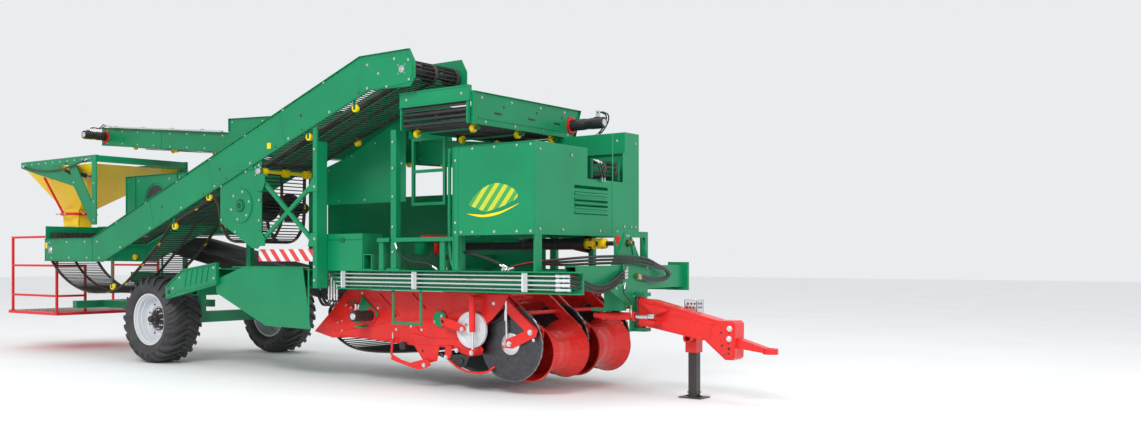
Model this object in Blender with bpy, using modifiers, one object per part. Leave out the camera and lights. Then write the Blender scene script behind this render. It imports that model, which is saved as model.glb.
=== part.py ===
"""A trailed two-row potato harvester with a digger unit, a ring elevator and a big-bag filler.

Every place is measured from the middle of the axle: +X runs forward to the drawbar, +Y to the
far side and +Z up, and the near side, with the elevator, is -Y. An empty puts the middle of the
whole machine at the world's origin.
"""
import math

import bmesh
import bpy
from mathutils import Matrix, Vector

# Driving dimensions, in metres
AXLE = (-1.975, 0.0528, 0.0)
GAP = 0.0003
CLEAR = 0.002
WHEEL_R = 0.535
TRACK_HALF = 0.97
PLATE = 0.004
RAIL_Z = (0.97, 1.17)
RAIL_TOP = RAIL_Z[1] + GAP
NEAR_RAIL_Y = (-1.14, -1.04)
FAR_RAIL_Y = (0.88, 0.98)
RAIL_FRONT = 6.15
BEAM_X = (5.95, 6.07)
BEAM_Z = (1.00, 1.22)
NEAR_BEAM_Y = (-0.47, -0.39)
FAR_BEAM_Y = (0.58, 0.66)
CHASSIS_Z = (0.97 + GAP, 1.10)
CHASSIS_TOP = CHASSIS_Z[1] + GAP

# Elevator: the side plates and the rod web between them
ELEVATOR_Y = (-1.30, -0.50)
WEB_Y = (-1.27, -0.53)
INCLINE = 0.368
INCLINE_FOOT = (-0.79, 1.24)
PLATE_HEIGHT = 0.40
TAIL_DRUM = (-2.03, 1.40, 0.065)
HEAD_DRUM = (4.27, 3.11, 0.085)
DRIVE_DRUM = (1.89, 1.87, 0.16)
IDLER = (2.18, 2.235, 0.045)
WEB_T = 0.018

# Long filling conveyor, which rises to the rear, and the cross conveyor that feeds it
FILL_Y = (-0.20, 0.55)
FILL_X = (-2.50, 4.70)
FILL_REAR_Z = (2.92, 3.18)
FILL_FALL = 0.10
FILL_PIVOT_X = 4.30
CROSS_X = (4.15, 5.00)
CROSS_Y = (-1.15, 0.72)
CROSS_Z = (2.54, 2.85)

# Hopper over the bag
HOPPER_X = (-3.49, -1.56)
HOPPER_Y = (-0.90, 0.60)
HOPPER_TOP = 2.68
SPOUT = (-2.95, -0.30)

# Bag platform behind the machine
PLATFORM_X = (-3.50, -2.22)
PLATFORM_Y = (-1.10, 0.66)
PLATFORM_HINGE = (-2.20, 0.0, 0.52)

# Digger unit, which hangs on a hinge at its rear
DIGGER_HINGE = (2.80, 0.0, 0.62)
DIGGER_Y = 0.85
YOKE_PIVOT = (4.95, 0.92)
ROLLER = (5.34, 0.405)
ROLLER_HALF = 0.30
ROLLER_Y = 0.40
DISC = (5.20, 0.48)
DISC_R = 0.36
DISC_SIDE_Y = 0.80

# Drawbar, with its steering cylinder and jack
DRAWBAR_PIVOT = (6.14, 0.0)
LUG_Z = (0.60, 0.93)
LUG_T = 0.035
CYLINDER_REAR = Vector((5.80, -0.24, 0.75))
CYLINDER_ROD = Vector((6.35, -0.20, 0.75))
JACK = (6.60, 0.145)
JACK_LEG = 0.08
PTO_Z = 1.43

for old in list(bpy.data.objects):
    bpy.data.objects.remove(old, do_unlink=True)

harvester = bpy.data.collections.new("potato_harvester")
cutters = bpy.data.collections.new("cutters")
for collection in (harvester, cutters):
    bpy.context.scene.collection.children.link(collection)

origin = bpy.data.objects.new("axle_centre", None)
origin.location = AXLE
harvester.objects.link(origin)


def material(name, colour, roughness, metallic=0.0):
    """A Principled material with one colour."""
    made = bpy.data.materials.new(name)
    made.use_nodes = True
    shader = made.node_tree.nodes["Principled BSDF"]
    shader.inputs["Base Color"].default_value = (*colour, 1.0)
    shader.inputs["Roughness"].default_value = roughness
    shader.inputs["Metallic"].default_value = metallic
    return made


FINISHES = {
    "green": ((0.012, 0.33, 0.185), 0.35, 0.0),
    "red": ((0.78, 0.035, 0.025), 0.32, 0.0),
    "yellow": ((0.90, 0.55, 0.01), 0.45, 0.0),
    "web": ((0.03, 0.03, 0.038), 0.6, 0.0),
    "steel": ((0.62, 0.64, 0.66), 0.3, 1.0),
    "dark": ((0.035, 0.035, 0.04), 0.5, 0.0),
    "tyre": ((0.02, 0.02, 0.022), 0.8, 0.0),
    "rim": ((0.72, 0.75, 0.78), 0.4, 0.0),
    "board": ((0.85, 0.85, 0.85), 0.4, 0.0),
}


def as_mesh(obj):
    """Turns a curve, or a mesh with modifiers, into a plain welded mesh that keeps its place."""
    bpy.context.view_layer.update()
    graph = bpy.context.evaluated_depsgraph_get()
    mesh = bpy.data.meshes.new_from_object(obj.evaluated_get(graph))
    solid = bpy.data.objects.new(obj.name, mesh)
    shape = bmesh.new()
    shape.from_mesh(mesh)
    bmesh.ops.transform(shape, matrix=obj.matrix_world, verts=shape.verts)
    bmesh.ops.remove_doubles(shape, verts=shape.verts, dist=1e-5)
    bmesh.ops.recalc_face_normals(shape, faces=shape.faces)
    shape.to_mesh(mesh)
    shape.free()
    harvester.objects.link(solid)
    bpy.data.objects.remove(obj, do_unlink=True)
    return solid


def slab(x, y, z):
    """A box from the low and the high value on each axis."""
    mesh = bpy.data.meshes.new("slab")
    shape = bmesh.new()
    bmesh.ops.create_cube(shape, size=1.0)
    size = Matrix.Diagonal((x[1] - x[0], y[1] - y[0], z[1] - z[0], 1.0))
    middle = Matrix.Translation((sum(x) / 2, sum(y) / 2, sum(z) / 2))
    bmesh.ops.transform(shape, matrix=middle @ size, verts=shape.verts)
    shape.to_mesh(mesh)
    shape.free()
    made = bpy.data.objects.new("slab", mesh)
    harvester.objects.link(made)
    return made


def box_beam(x, y, z, along, wall=0.01):
    """A square tube, open at both ends, along the axis with the given number."""
    bore = [(low + wall, high - wall) for low, high in (x, y, z)]
    low, high = (x, y, z)[along]
    bore[along] = (low - wall, high + wall)
    return without(slab(x, y, z), slab(*bore))


def tray(x, y, z, wall=0.006):
    """A floor plate with a skirt on all four sides."""
    under = [(low + wall, high - wall) for low, high in (x, y)]
    return without(slab(x, y, z), slab(*under, (z[0] - wall, z[1] - wall)))


def rod(start, end, radius, end_radius=None, sides=16):
    """A cylinder, or a cone, between two points."""
    start, end = Vector(start), Vector(end)
    mesh = bpy.data.meshes.new("rod")
    shape = bmesh.new()
    turn = (end - start).to_track_quat("Z", "Y").to_matrix().to_4x4()
    bmesh.ops.create_cone(
        shape,
        cap_ends=True,
        segments=sides,
        radius1=radius,
        radius2=radius if end_radius is None else end_radius,
        depth=(end - start).length,
        matrix=Matrix.Translation((start + end) / 2) @ turn,
    )
    shape.to_mesh(mesh)
    shape.free()
    made = bpy.data.objects.new("rod", mesh)
    harvester.objects.link(made)
    return made


def flat_curve(outlines, across, matrix):
    """Closed outlines, the first the rim and the others its holes, thickened about a plane."""
    curve = bpy.data.curves.new("outline", "CURVE")
    curve.dimensions = "2D"
    curve.fill_mode = "BOTH"
    curve.extrude = (across[1] - across[0]) / 2
    for points in outlines:
        spline = curve.splines.new("POLY")
        spline.points.add(len(points) - 1)
        for point, (u, v) in zip(spline.points, points):
            point.co = (u, v, 0, 1)
        spline.use_cyclic_u = True
    made = bpy.data.objects.new("outline", curve)
    made.matrix_world = matrix
    harvester.objects.link(made)
    return as_mesh(made)


def side_plate(outline, y, holes=()):
    """An outline in X and Z, from the low to the high Y."""
    place = Matrix.Translation((0, sum(y) / 2, 0)) @ Matrix.Rotation(math.pi / 2, 4, "X")
    return flat_curve([outline, *holes], y, place)


def cross_plate(outline, x, holes=()):
    """An outline in Y and Z, from the low to the high X."""
    stand = Matrix(((0, 0, 1, 0), (1, 0, 0, 0), (0, 1, 0, 0), (0, 0, 0, 1)))
    return flat_curve([outline, *holes], x, Matrix.Translation((sum(x) / 2, 0, 0)) @ stand)


def tube(points, radius, sides=2):
    """A bent tube through the points."""
    curve = bpy.data.curves.new("tube", "CURVE")
    curve.dimensions = "3D"
    curve.bevel_depth = radius
    curve.bevel_resolution = sides
    curve.use_fill_caps = True
    spline = curve.splines.new("POLY")
    spline.points.add(len(points) - 1)
    for point, place in zip(spline.points, points):
        point.co = (*place, 1)
    made = bpy.data.objects.new("tube", curve)
    harvester.objects.link(made)
    return as_mesh(made)


def turned(profile, centre, steps=32):
    """A closed (radius, Y) profile turned about the Y axis through the centre."""
    mesh = bpy.data.meshes.new("profile")
    shape = bmesh.new()
    verts = [shape.verts.new((radius, 0, -along)) for radius, along in profile]
    ends_on_axis = profile[0][0] == 0 and profile[-1][0] == 0
    for first, second in zip(verts, verts[1:] + verts[:1]):
        if not (ends_on_axis and first is verts[-1]):
            shape.edges.new((first, second))
    shape.to_mesh(mesh)
    shape.free()
    made = bpy.data.objects.new("turned", mesh)
    harvester.objects.link(made)
    screw = made.modifiers.new("Screw", "SCREW")
    screw.steps = screw.render_steps = steps
    screw.use_merge_vertices = True
    screw.merge_threshold = 0.0001
    made.matrix_world = Matrix.Translation(centre) @ Matrix.Rotation(math.pi / 2, 4, "X")
    return as_mesh(made)


def united(*pieces):
    """The pieces joined into one solid."""
    whole = pieces[0]
    for other in pieces[1:]:
        join = whole.modifiers.new("Union", "BOOLEAN")
        join.operation = "UNION"
        join.object = other
        whole = as_mesh(whole)
        bpy.data.objects.remove(other, do_unlink=True)
    return whole


def without(whole, *tools):
    """The solid with each tool cut out of it."""
    for tool in tools:
        join = whole.modifiers.new("Cut", "BOOLEAN")
        join.operation = "DIFFERENCE"
        join.object = tool
        whole = as_mesh(whole)
        bpy.data.objects.remove(tool, do_unlink=True)
    return whole


def part(name, solid, finish, pivot=(0, 0, 0)):
    """Names the solid, paints it and puts its origin on the pivot, under the axle's empty."""
    solid.name = solid.data.name = name
    solid.data.transform(Matrix.Translation(-Vector(pivot)))
    solid.data.materials.clear()
    solid.data.materials.append(material(name, *FINISHES[finish]))
    solid.parent = origin
    solid.location = pivot
    solid.data.shade_smooth()
    solid.data.set_sharp_from_angle(angle=math.radians(35))
    return solid


def arc(centre, radius, start, end, steps):
    """Points along an arc, with the angles in degrees from +X towards +Z."""
    angles = [math.radians(start + (end - start) * i / steps) for i in range(steps + 1)]
    return [(centre[0] + radius * math.cos(a), centre[1] + radius * math.sin(a)) for a in angles]


def band(path, thickness, y, closed=False):
    """A web of even thickness that follows a path in X and Z."""
    points = [Vector(point) for point in path]
    count = len(points)
    left, right = [], []
    for i, point in enumerate(points):
        before = points[i - 1] if closed or i else point
        after = points[(i + 1) % count] if closed or i < count - 1 else point
        along = (after - before).normalized()
        normal = Vector((-along.y, along.x)) * thickness / 2
        left.append(tuple(point + normal))
        right.append(tuple(point - normal))
    if closed:
        return side_plate(left, y, [right])
    return side_plate(left + right[::-1], y)


def smooth(points, steps=3):
    """A Catmull-Rom curve through the points."""
    ends = [points[0], *points, points[-1]]
    made = []
    for a, b, c, d in zip(ends, ends[1:], ends[2:], ends[3:]):
        a, b, c, d = map(Vector, (a, b, c, d))
        for i in range(steps):
            t = i / steps
            bend = (2 * a - 5 * b + 4 * c - d) * t * t + (3 * b - a - 3 * c + d) * t**3
            made.append(tuple((2 * b + (c - a) * t + bend) / 2))
    return [*made, points[-1]]


def loop(front, rear, radius):
    """A web's path round two drums of one radius, in X and Z."""
    slope = math.degrees(math.atan2(rear[1] - front[1], rear[0] - front[0]))
    return [
        *arc(rear, radius, slope - 90, slope + 90, 6),
        *arc(front, radius, slope + 90, slope + 270, 6),
    ]


def incline(x, above=0.0):
    """The height of the elevator plates' lower edge at X, plus a distance."""
    return INCLINE_FOOT[1] + INCLINE * (x - INCLINE_FOOT[0]) + above


def make_wheels():
    bead, hollow = WHEEL_R - 0.215, 0.03
    crown = [(bead, 0.19), (0.37, 0.235), (0.46, 0.25), (0.515, 0.235), (WHEEL_R, 0.19)]
    inner = [(WHEEL_R - hollow, 0.175), (0.45, 0.22), (0.37, 0.205), (bead, 0.16)]
    tyre = crown + [(r, -y) for r, y in crown[::-1]]
    tyre += [(r, -y) for r, y in inner[::-1]] + inner
    seat = bead - GAP
    rim = [
        (0, 0.20), (0.06, 0.20), (0.065, 0.12), (0.11, 0.11), (0.12, 0.06), (0.24, 0.05),
        (0.305, 0.185), (seat, 0.185), (seat, -0.185), (0.305, -0.185), (0.29, 0.08),
        (0.25, 0.03), (0.10, 0.035), (0.09, -0.07), (0, -0.07),
    ]
    for name, side in (("near", -1), ("far", 1)):
        centre = (0, side * TRACK_HALF, WHEEL_R)
        part(name + "_tyre", turned([(r, side * y) for r, y in tyre], centre), "tyre", centre)
        part(name + "_rim", turned([(r, side * y) for r, y in rim], centre), "rim", centre)
    spindle = TRACK_HALF - 0.07 - GAP
    pedestals = [
        slab((-0.13, 0.13), y, (0.58, CHASSIS_Z[0] - GAP)) for y in (NEAR_BEAM_Y, FAR_BEAM_Y)
    ]
    axle = united(
        slab((-0.07, 0.07), (-0.69, 0.69), (WHEEL_R - 0.07, WHEEL_R + 0.07)),
        rod((0, -spindle, WHEEL_R), (0, spindle, WHEEL_R), 0.055),
        *pedestals,
    )
    part("axle_beam", axle, "green")


def make_chassis():
    """Each rear chassis side is a beam with a hanger down to the lower beam of the platform."""
    portal_x = (0.99, 1.07)
    for name, y in (("near", NEAR_BEAM_Y), ("far", FAR_BEAM_Y)):
        post_y = (y[0] + 0.01, y[1] - 0.01)
        pieces = [
            box_beam((-1.40, 2.75), y, CHASSIS_Z, 0),
            slab((-1.32, -1.20), y, (0.65, CHASSIS_Z[0] + 0.01)),
            slab((-2.15, -1.00), y, (0.60, 0.70)),
            slab(portal_x, post_y, (CHASSIS_Z[1] - 0.01, 2.42)),
        ]
        if name == "near":
            low_y = (-0.88, FAR_BEAM_Y[0] - GAP)
            pieces.append(slab((-2.17, -2.07), low_y, (0.60, 0.70)))
            pieces.append(slab(portal_x, (post_y[0], FAR_BEAM_Y[1]), (2.42 + GAP, 2.50)))
            pieces.append(slab(portal_x, post_y, (2.40, 2.46)))
        part(name + "_chassis", united(*pieces), "green")


def make_frame():
    y0, y1 = NEAR_RAIL_Y
    z0, z1 = RAIL_Z
    t = 0.012

    def channel(back, open_side):
        web = sorted((back, back + math.copysign(t, open_side - back)))
        inside = web[1] if open_side > back else web[0]
        return [
            (open_side, z0), (back, z0), (back, z1), (open_side, z1), (open_side, z1 - t),
            (inside, z1 - t), (inside, z0 + t), (open_side, z0 + t),
        ]

    step = [rod((x, -1.10, z0 + 0.005), (x, -1.10, 0.64), 0.013, sides=8) for x in (3.98, 4.34)]
    tread = rod((3.967, -1.10, 0.645), (4.353, -1.10, 0.645), 0.015, sides=8)
    rail = cross_plate(channel(y1, y0), (0.75, RAIL_FRONT))
    notch = slab((3.0, 3.22), (-1.18, -1.055), (z0 - 0.01, z0 + 0.03))
    middle_y = (y1 - 0.005, FAR_RAIL_Y[0] - GAP)
    middle = slab((2.62, 2.70), middle_y, (CHASSIS_TOP, z1 - 0.002))
    rail = united(without(rail, notch), *step, tread, middle)
    part("near_rail", rail, "green")
    outer = (NEAR_RAIL_Y[0], FAR_RAIL_Y[1])
    part("rear_cross_beam", box_beam((0.80, 0.92), outer, (0.85, z0 - GAP), 1), "green")
    part("far_rail_and_front_beam", united(
        cross_plate(channel(*FAR_RAIL_Y), (0.75, BEAM_X[0] + 0.025)),
        box_beam(BEAM_X, (y1 + GAP, 0.985), BEAM_Z, 1),
        slab((5.90, 6.12), (0.973, 1.005), (0.965, 1.25)),
        slab((0.95, 4.40), (FAR_RAIL_Y[1] - PLATE, FAR_RAIL_Y[1]), (z1 - 0.005, 2.05)),
    ), "green")
    part("tower_post", united(
        slab((3.97, 4.04), (-1.13, -1.06), (1.18, CROSS_Z[0] + 0.02)),
        slab((3.92, 4.09), (-1.14, -1.04), (RAIL_TOP, 1.185)),
    ), "green")


def make_pipes():
    """Four pipes lie in the rail's channel, held by clamps, and turn down at the rear."""
    pieces = [slab((x, x + 0.05), (-1.122, -1.078), (0.985, 1.155)) for x in (3.28, 4.25, 5.56)]
    for i in range(4):
        z = 1.006 + 0.042 * i
        bend = 3.19 - 0.04 * i
        pieces.append(rod((bend - 0.008, -1.10, z), (5.98, -1.10, z), 0.011, sides=8))
        pieces.append(rod((bend, -1.10, z + 0.008), (bend, -1.10, 0.90), 0.011, sides=8))
    part("hydraulic_pipes", united(*pieces), "steel")


def make_boxes():
    x, y, z = (4.82, 5.74), (-1.20, 0.38 - GAP), (1.50, 2.33)
    shell = without(
        slab(x, y, z),
        slab(
            (x[0] + PLATE, x[1] - PLATE), (y[0] + PLATE, y[1] - PLATE), (z[0] - 0.1, z[1] - PLATE)
        ),
        *[slab((5.6, 5.8), (-0.55, 0.05), (s, s + 0.03)) for s in (1.70, 1.76, 1.82, 1.88, 1.94)],
        slab((5.16, 5.8), (-0.32, 0.34), (2.04, 2.4)),
    )
    legs = [slab((a, a + 0.05), (-1.14, -1.08), (RAIL_TOP, 1.56)) for a in (4.8225, 5.6875)]
    shell = united(shell, *legs)
    part("front_box", shell, "green")
    part("discharge_web", side_plate(
        loop((5.66, 2.16), (5.26, 2.16), 0.075), (-0.24, 0.26)
    ), "web")
    far = slab((4.90, 5.74), (0.38, 0.66), (1.50, 2.54))
    hollow = slab((4.90 + PLATE, 5.74 - PLATE), (0.38 + PLATE, 0.66 - PLATE), (1.4, 2.54 - PLATE))
    brackets = [
        united(slab((a, a + 0.06), (0.64, 0.96), (1.50, 1.56)),
               slab((a, a + 0.06), (0.90, 0.96), (RAIL_TOP, 1.56)))
        for a in (5.00, 5.62)
    ]
    part("far_box", united(without(far, hollow), *brackets), "green")
    floor = without(
        tray((3.80, 4.79), (-1.15, -0.10), (1.45, 1.49)),
        slab((3.965, 4.045), (-1.20, -1.05), (1.40, 1.60)),
    )
    legs = [slab((a, a + 0.06), (-1.13, -1.07), (RAIL_TOP, 1.487)) for a in (3.81, 4.60)]
    outer = (NEAR_RAIL_Y[0], FAR_RAIL_Y[1] - PLATE - GAP)
    gearbox_beam = box_beam((3.60, 3.72), outer, (RAIL_TOP, 1.33 - GAP), 1)
    riser = slab((3.66, 3.84), (-0.40, -0.30), (1.322, 1.487))
    portal_x = (4.50, 4.58)
    portal = [
        slab(portal_x, (-0.46, 0.96), (2.09, 2.16)),
        slab(portal_x, (-0.46, -0.40), (1.487, 2.12)),
        slab(portal_x, (0.91, 0.96), (RAIL_TOP, 2.12)),
    ]
    handrail = [(4.76, -1.10, RAIL_TOP + 0.01), (4.70, -1.10, 1.40), (4.70, -1.10, 2.33)]
    part("operator_platform", united(
        floor, *legs, riser, gearbox_beam, *portal, tube(smooth(handrail, 3), 0.017)
    ), "green")
    panel = [(2.35, 1.89), (3.60, 1.89), (3.60, 2.74), (3.42, 2.72), (3.10, 2.58), (2.75, 2.42),
             (2.35, 2.30)]
    part("guard_panel", side_plate(panel, (-0.480, -0.480 + PLATE)), "green")
    part("tool_box", tray((3.02, 3.59), (-1.14, -0.84), (RAIL_TOP, 1.54), 0.004), "green")
    frame = [
        slab((3.97, 4.41), (-0.815, -0.785), (z, z + 0.03)) for z in (1.82, 2.15, 2.47)
    ]
    stiles = [slab((a, a + 0.03), (-0.815, -0.785), (1.82, 2.50)) for a in (3.97, 4.38)]
    part("gate", united(stiles[0], *frame, stiles[1]), "green", (4.43, -0.80, 2.15))
    shield = [(1.34, 1.04), (1.86, 1.20), (2.79, 1.20), (2.91, 0.54), (2.20, 0.55), (1.36, 0.89)]
    lip = slab((1.88, 2.78), (-1.209, -1.145), (1.192, 1.198))
    part("side_shield", united(side_plate(shield, (-1.215, -1.205)), lip), "green")
    part("hazard_board", slab((2.13, 3.00), (-1.25, -1.235), (1.255, 1.385)), "board")
    lever = [(0.50, 0.80), (1.42, 0.99), (1.42, 1.24), (0.80, 1.16), (0.47, 0.95), (0.47, 0.84)]
    part("ribbed_arm", side_plate(lever, (-1.27, -1.225)), "green")


def make_elevator():
    foot, head = -0.79, 3.85
    lower = [(-2.17, 1.25), (foot, INCLINE_FOOT[1]), (head, incline(head)), (4.38, 2.93)]
    nose = [(4.44, 3.01), (4.44, 3.17), (4.37, 3.30)]
    upper = [(3.72, incline(3.72, PLATE_HEIGHT)), (-1.03, 1.55)]
    near = [*lower, *nose, *upper, (-2.17, 1.55)]
    far = [*lower, *nose, *upper, (-1.35, 1.73), (-2.155, 1.73)]
    near_y, far_y = [(y - PLATE, y + PLATE) for y in ELEVATOR_Y]
    part("elevator_near_plate", side_plate(near, near_y), "green")
    tail_wall = slab((-2.165, -2.15), (near_y[1] + GAP, far_y[0] + 0.004), (1.26, 1.72))
    part("elevator_far_plate", united(side_plate(far, far_y), tail_wall), "green")
    tail, top = Vector(TAIL_DRUM[:2]), Vector(HEAD_DRUM[:2])
    tail_r, head_r = TAIL_DRUM[2] + 0.015, HEAD_DRUM[2] + 0.015
    upper_run = [
        *arc(tail, tail_r, 180, 90, 3), (-0.95, 1.48), (3.70, incline(3.70, 0.27)),
        *arc(top, head_r, 90, -90, 6),
    ]
    part("elevator_web", band(upper_run, WEB_T, WEB_Y), "web")
    hang = [
        (0.56, 1.685), (0.32, 1.47), (0.07, 1.28), (-0.17, 1.11), (-0.43, 0.95), (-0.70, 0.87),
        (-1.00, 0.84), (-1.30, 0.865), (-1.60, 0.95), (-1.88, 1.09), (-2.08, 1.255),
    ]
    lower_run = [
        (top.x - 0.03, top.y - head_r - 0.001), (3.85, incline(3.85, -0.06)), (3.0, 2.59),
        (2.32, 2.325), *arc(IDLER[:2], IDLER[2] + 0.015, 110, 180, 3),
        (2.115, 1.80), *smooth([(2.10, 1.66), (1.98, 1.51), (1.80, 1.46), (1.62, 1.51),
                                (1.50, 1.66)]),
        (1.45, 1.88), (1.38, 1.97), (1.28, 1.955), (0.66, 1.725), *smooth(hang),
        (tail.x - tail_r, tail.y - 0.02),
    ]
    part("elevator_return_web", band(lower_run, WEB_T, WEB_Y), "web")
    middle, half = sum(WEB_Y) / 2, (WEB_Y[1] - WEB_Y[0]) / 2 - 0.01
    for name, finish, (x, z, radius) in (
        ("head_drum", "dark", HEAD_DRUM), ("tail_drum", "dark", TAIL_DRUM),
        ("drive_drum", "dark", DRIVE_DRUM), ("idler_roller", "yellow", IDLER),
    ):
        core = 0.4 * radius
        wheels = [
            (0, half), (core, half), (radius, half), (radius, half - 0.07), (core, half - 0.07),
            (core, 0.035), (radius, 0.035),
        ]
        profile = wheels + [(r, -y) for r, y in wheels[::-1]]
        centre = (x, middle, z)
        part("elevator_" + name, turned(profile, centre, 18), finish, centre)
    octagon = [(1.53, 2.13), (1.53, 1.69), (2.07, 1.40), (2.16, 1.39), (2.23, 1.45), (2.23, 2.38)]
    outer = ELEVATOR_Y[0] + PLATE + GAP
    x, z, _ = DRIVE_DRUM
    flange = turned(
        [(0, -0.03), (0.05, -0.03), (0.05, -0.012), (0.19, -0.012), (0.19, 0.003), (0, 0.003)],
        (x, outer, z), 24)
    bar_y = (outer, outer + 0.03)
    pieces = [
        side_plate(octagon, (outer, outer + 0.008)),
        flange,
        slab((3.03, 3.09), (outer, -1.145), (0.98, 2.50)),
        slab((3.03, 3.09), (outer, WEB_Y[0] - 0.004), (2.48, incline(3.06, -0.005))),
    ]
    for low, high in (((2.21, 1.47), (3.04, 2.07)), ((2.21, 2.15), (3.04, 1.45))):
        along = (Vector(high) - Vector(low)).normalized() * 0.022
        pieces.append(side_plate([
            (low[0] - along.y, low[1] + along.x), (low[0] + along.y, low[1] - along.x),
            (high[0] + along.y, high[1] - along.x), (high[0] - along.y, high[1] + along.x),
        ], bar_y))
    part("elevator_side_frame", united(*pieces), "green")


def fill_height(x):
    """The lower edge of the filling conveyor's plates at X."""
    return FILL_REAR_Z[0] - FILL_FALL * (x - FILL_X[0])


def make_conveyors():
    rear, front = FILL_X
    height = FILL_REAR_Z[1] - FILL_REAR_Z[0]
    outline = [
        (rear, fill_height(rear)), (front, fill_height(front)),
        (front, fill_height(front) + height), (3.40, fill_height(3.40) + height), (3.40, 2.85),
        (3.10, 2.95), (0.36, 3.07), (0.36, fill_height(0.36) + height),
        (rear, fill_height(rear) + height),
    ]
    pivot = (FILL_PIVOT_X, 0, fill_height(FILL_PIVOT_X) + 0.12)
    plates = [side_plate(outline, (y - PLATE, y + PLATE)) for y in FILL_Y]
    ties = []
    for x in (rear + 0.53, 1.13, front - 0.53):
        z = fill_height(x) + 0.12
        ties.append(rod((x, FILL_Y[0] - 0.01, z), (x, FILL_Y[1] + 0.01, z), 0.02, sides=12))
    z = fill_height(rear + 0.1) + 0.13
    motor = rod((rear + 0.1, FILL_Y[0] - 0.36, z), (rear + 0.1, FILL_Y[0] + 0.01, z), 0.055)
    part("filling_conveyor_frame", united(plates[0], *ties, plates[1], motor), "green", pivot)
    inside = (FILL_Y[0] + 0.02, FILL_Y[1] - 0.02)
    ends = [(x, fill_height(x) + 0.12) for x in (front - 0.12, rear + 0.12)]
    part("filling_web", band(loop(*ends, 0.08), WEB_T, inside, True), "web", pivot)
    y0, y1 = CROSS_Y
    z0, z1 = CROSS_Z
    walls = [
        cross_plate([(y0, z0), (y1 - 0.12, z0), (y1, z1), (y0, z1)], (x - PLATE, x + PLATE))
        for x in CROSS_X
    ]
    beam = slab(CROSS_X, (y0 - 0.05, y0 + 0.004), (z1 - 0.10, z1 + 0.05))
    ties = [
        rod((CROSS_X[0], y, 2.64), (CROSS_X[1], y, 2.64), 0.02, sides=10) for y in (-0.8, 0.2)
    ]
    y = y1 - 0.17
    motor = rod((CROSS_X[1], y, 2.68), (CROSS_X[1] + 0.40, y, 2.68), 0.055)
    part("cross_conveyor_frame", united(walls[0], beam, *ties, walls[1], motor), "green")
    path = loop((y1 - 0.17, 2.64), (y0 + 0.07, 2.64), 0.075)
    inside = (CROSS_X[0] + 0.02, CROSS_X[1] - 0.02)
    web = band(path, WEB_T, inside, True)
    web.data.transform(Matrix(((0, 1, 0, 0), (1, 0, 0, 0), (0, 0, 1, 0), (0, 0, 0, 1))))
    web.data.flip_normals()
    part("cross_web", web, "web")
    lift = loop((2.44, 0.86), (-1.00, 1.50), 0.07)
    part("sieve_web", band(lift, WEB_T, (NEAR_BEAM_Y[1] + 0.01, FAR_BEAM_Y[0] - 0.01), True),
         "web")


def make_hopper():
    x0, x1 = HOPPER_X
    top = HOPPER_TOP
    near = [
        (x0, top - 0.08), (x0, top), (x1, top), (x1, 1.74), (x1 - 0.10, 1.74), (-2.10, 2.28),
        (-2.95, 2.47),
    ]
    holes = [
        [(x1 - 0.10, top - 0.09), (x1 - 0.10, 2.04), (-2.08, top - 0.09)],
        [(-2.24, top - 0.10), (-2.16, 2.43), (-2.60, top - 0.10)],
    ]
    far = [
        (x0, top - 0.08), (x0, top), (x1, top), (x1, CHASSIS_TOP), (x1 - 0.10, CHASSIS_TOP),
        (x1 - 0.10, 2.0), (-2.10, 2.28), (-2.95, 2.47),
    ]
    y0, y1 = HOPPER_Y
    beams = [
        slab((x, x + 0.05), (y0, y1), (top - 0.09, top - 0.004)) for x in (x0 + 0.01, x1 - 0.06)
    ]
    part("hopper_frame", united(
        side_plate(near, (y0 - 0.01, y0 + 0.01), holes), *beams,
        side_plate(far, (y1 - 0.01, y1 + 0.01)),
    ), "green")
    mesh = bpy.data.meshes.new("funnel")
    shape = bmesh.new()
    levels = [
        (top - 0.11, (x0 + 0.08, x1 - 0.12), (y0 + 0.03, y1 - 0.03)),
        (1.98, (SPOUT[0] - 0.19, SPOUT[0] + 0.19), (SPOUT[1] - 0.11, SPOUT[1] + 0.11)),
        (1.74, (SPOUT[0] - 0.17, SPOUT[0] + 0.17), (SPOUT[1] - 0.10, SPOUT[1] + 0.10)),
    ]
    rings = []
    for z, x, y in levels:
        corners = ((x[0], y[0]), (x[1], y[0]), (x[1], y[1]), (x[0], y[1]))
        rings.append([shape.verts.new((*corner, z)) for corner in corners])
    for above, below in zip(rings, rings[1:]):
        for i in range(4):
            j = (i + 1) % 4
            shape.faces.new((above[i], below[i], below[j], above[j]))
    shape.to_mesh(mesh)
    shape.free()
    funnel = bpy.data.objects.new("funnel", mesh)
    harvester.objects.link(funnel)
    wall = funnel.modifiers.new("Wall", "SOLIDIFY")
    wall.thickness = PLATE
    wall.offset = 0
    part("hopper_funnel", as_mesh(funnel), "yellow")
    ring = [(0.25 + 0.02 * math.cos(a), 0.02 * math.sin(a))
            for a in [math.tau * i / 8 for i in range(8)]]
    clamp = turned(ring, (0, 0, 0), 24)
    clamp.data.transform(Matrix.Rotation(math.pi / 2, 4, "X"))
    clamp.data.transform(Matrix.Translation((*SPOUT, 1.93)))
    x, y = SPOUT
    arm = rod((x, y - 0.25, 1.93), (x, y0 + 0.045, 2.44), 0.018, sides=10)
    part("bag_ring", united(clamp, arm), "red")
    wall_x, wall_y, wall_z = (-1.50, 0.20), (-0.48, 0.50), (1.60, 2.40)
    housing = without(
        slab(wall_x, wall_y, wall_z),
        slab((wall_x[0] + PLATE, wall_x[1] - PLATE), (wall_y[0] + PLATE, wall_y[1] - PLATE),
             (wall_z[0] + PLATE, 2.6)),
    )
    part("rear_housing", housing, "green")


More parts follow.
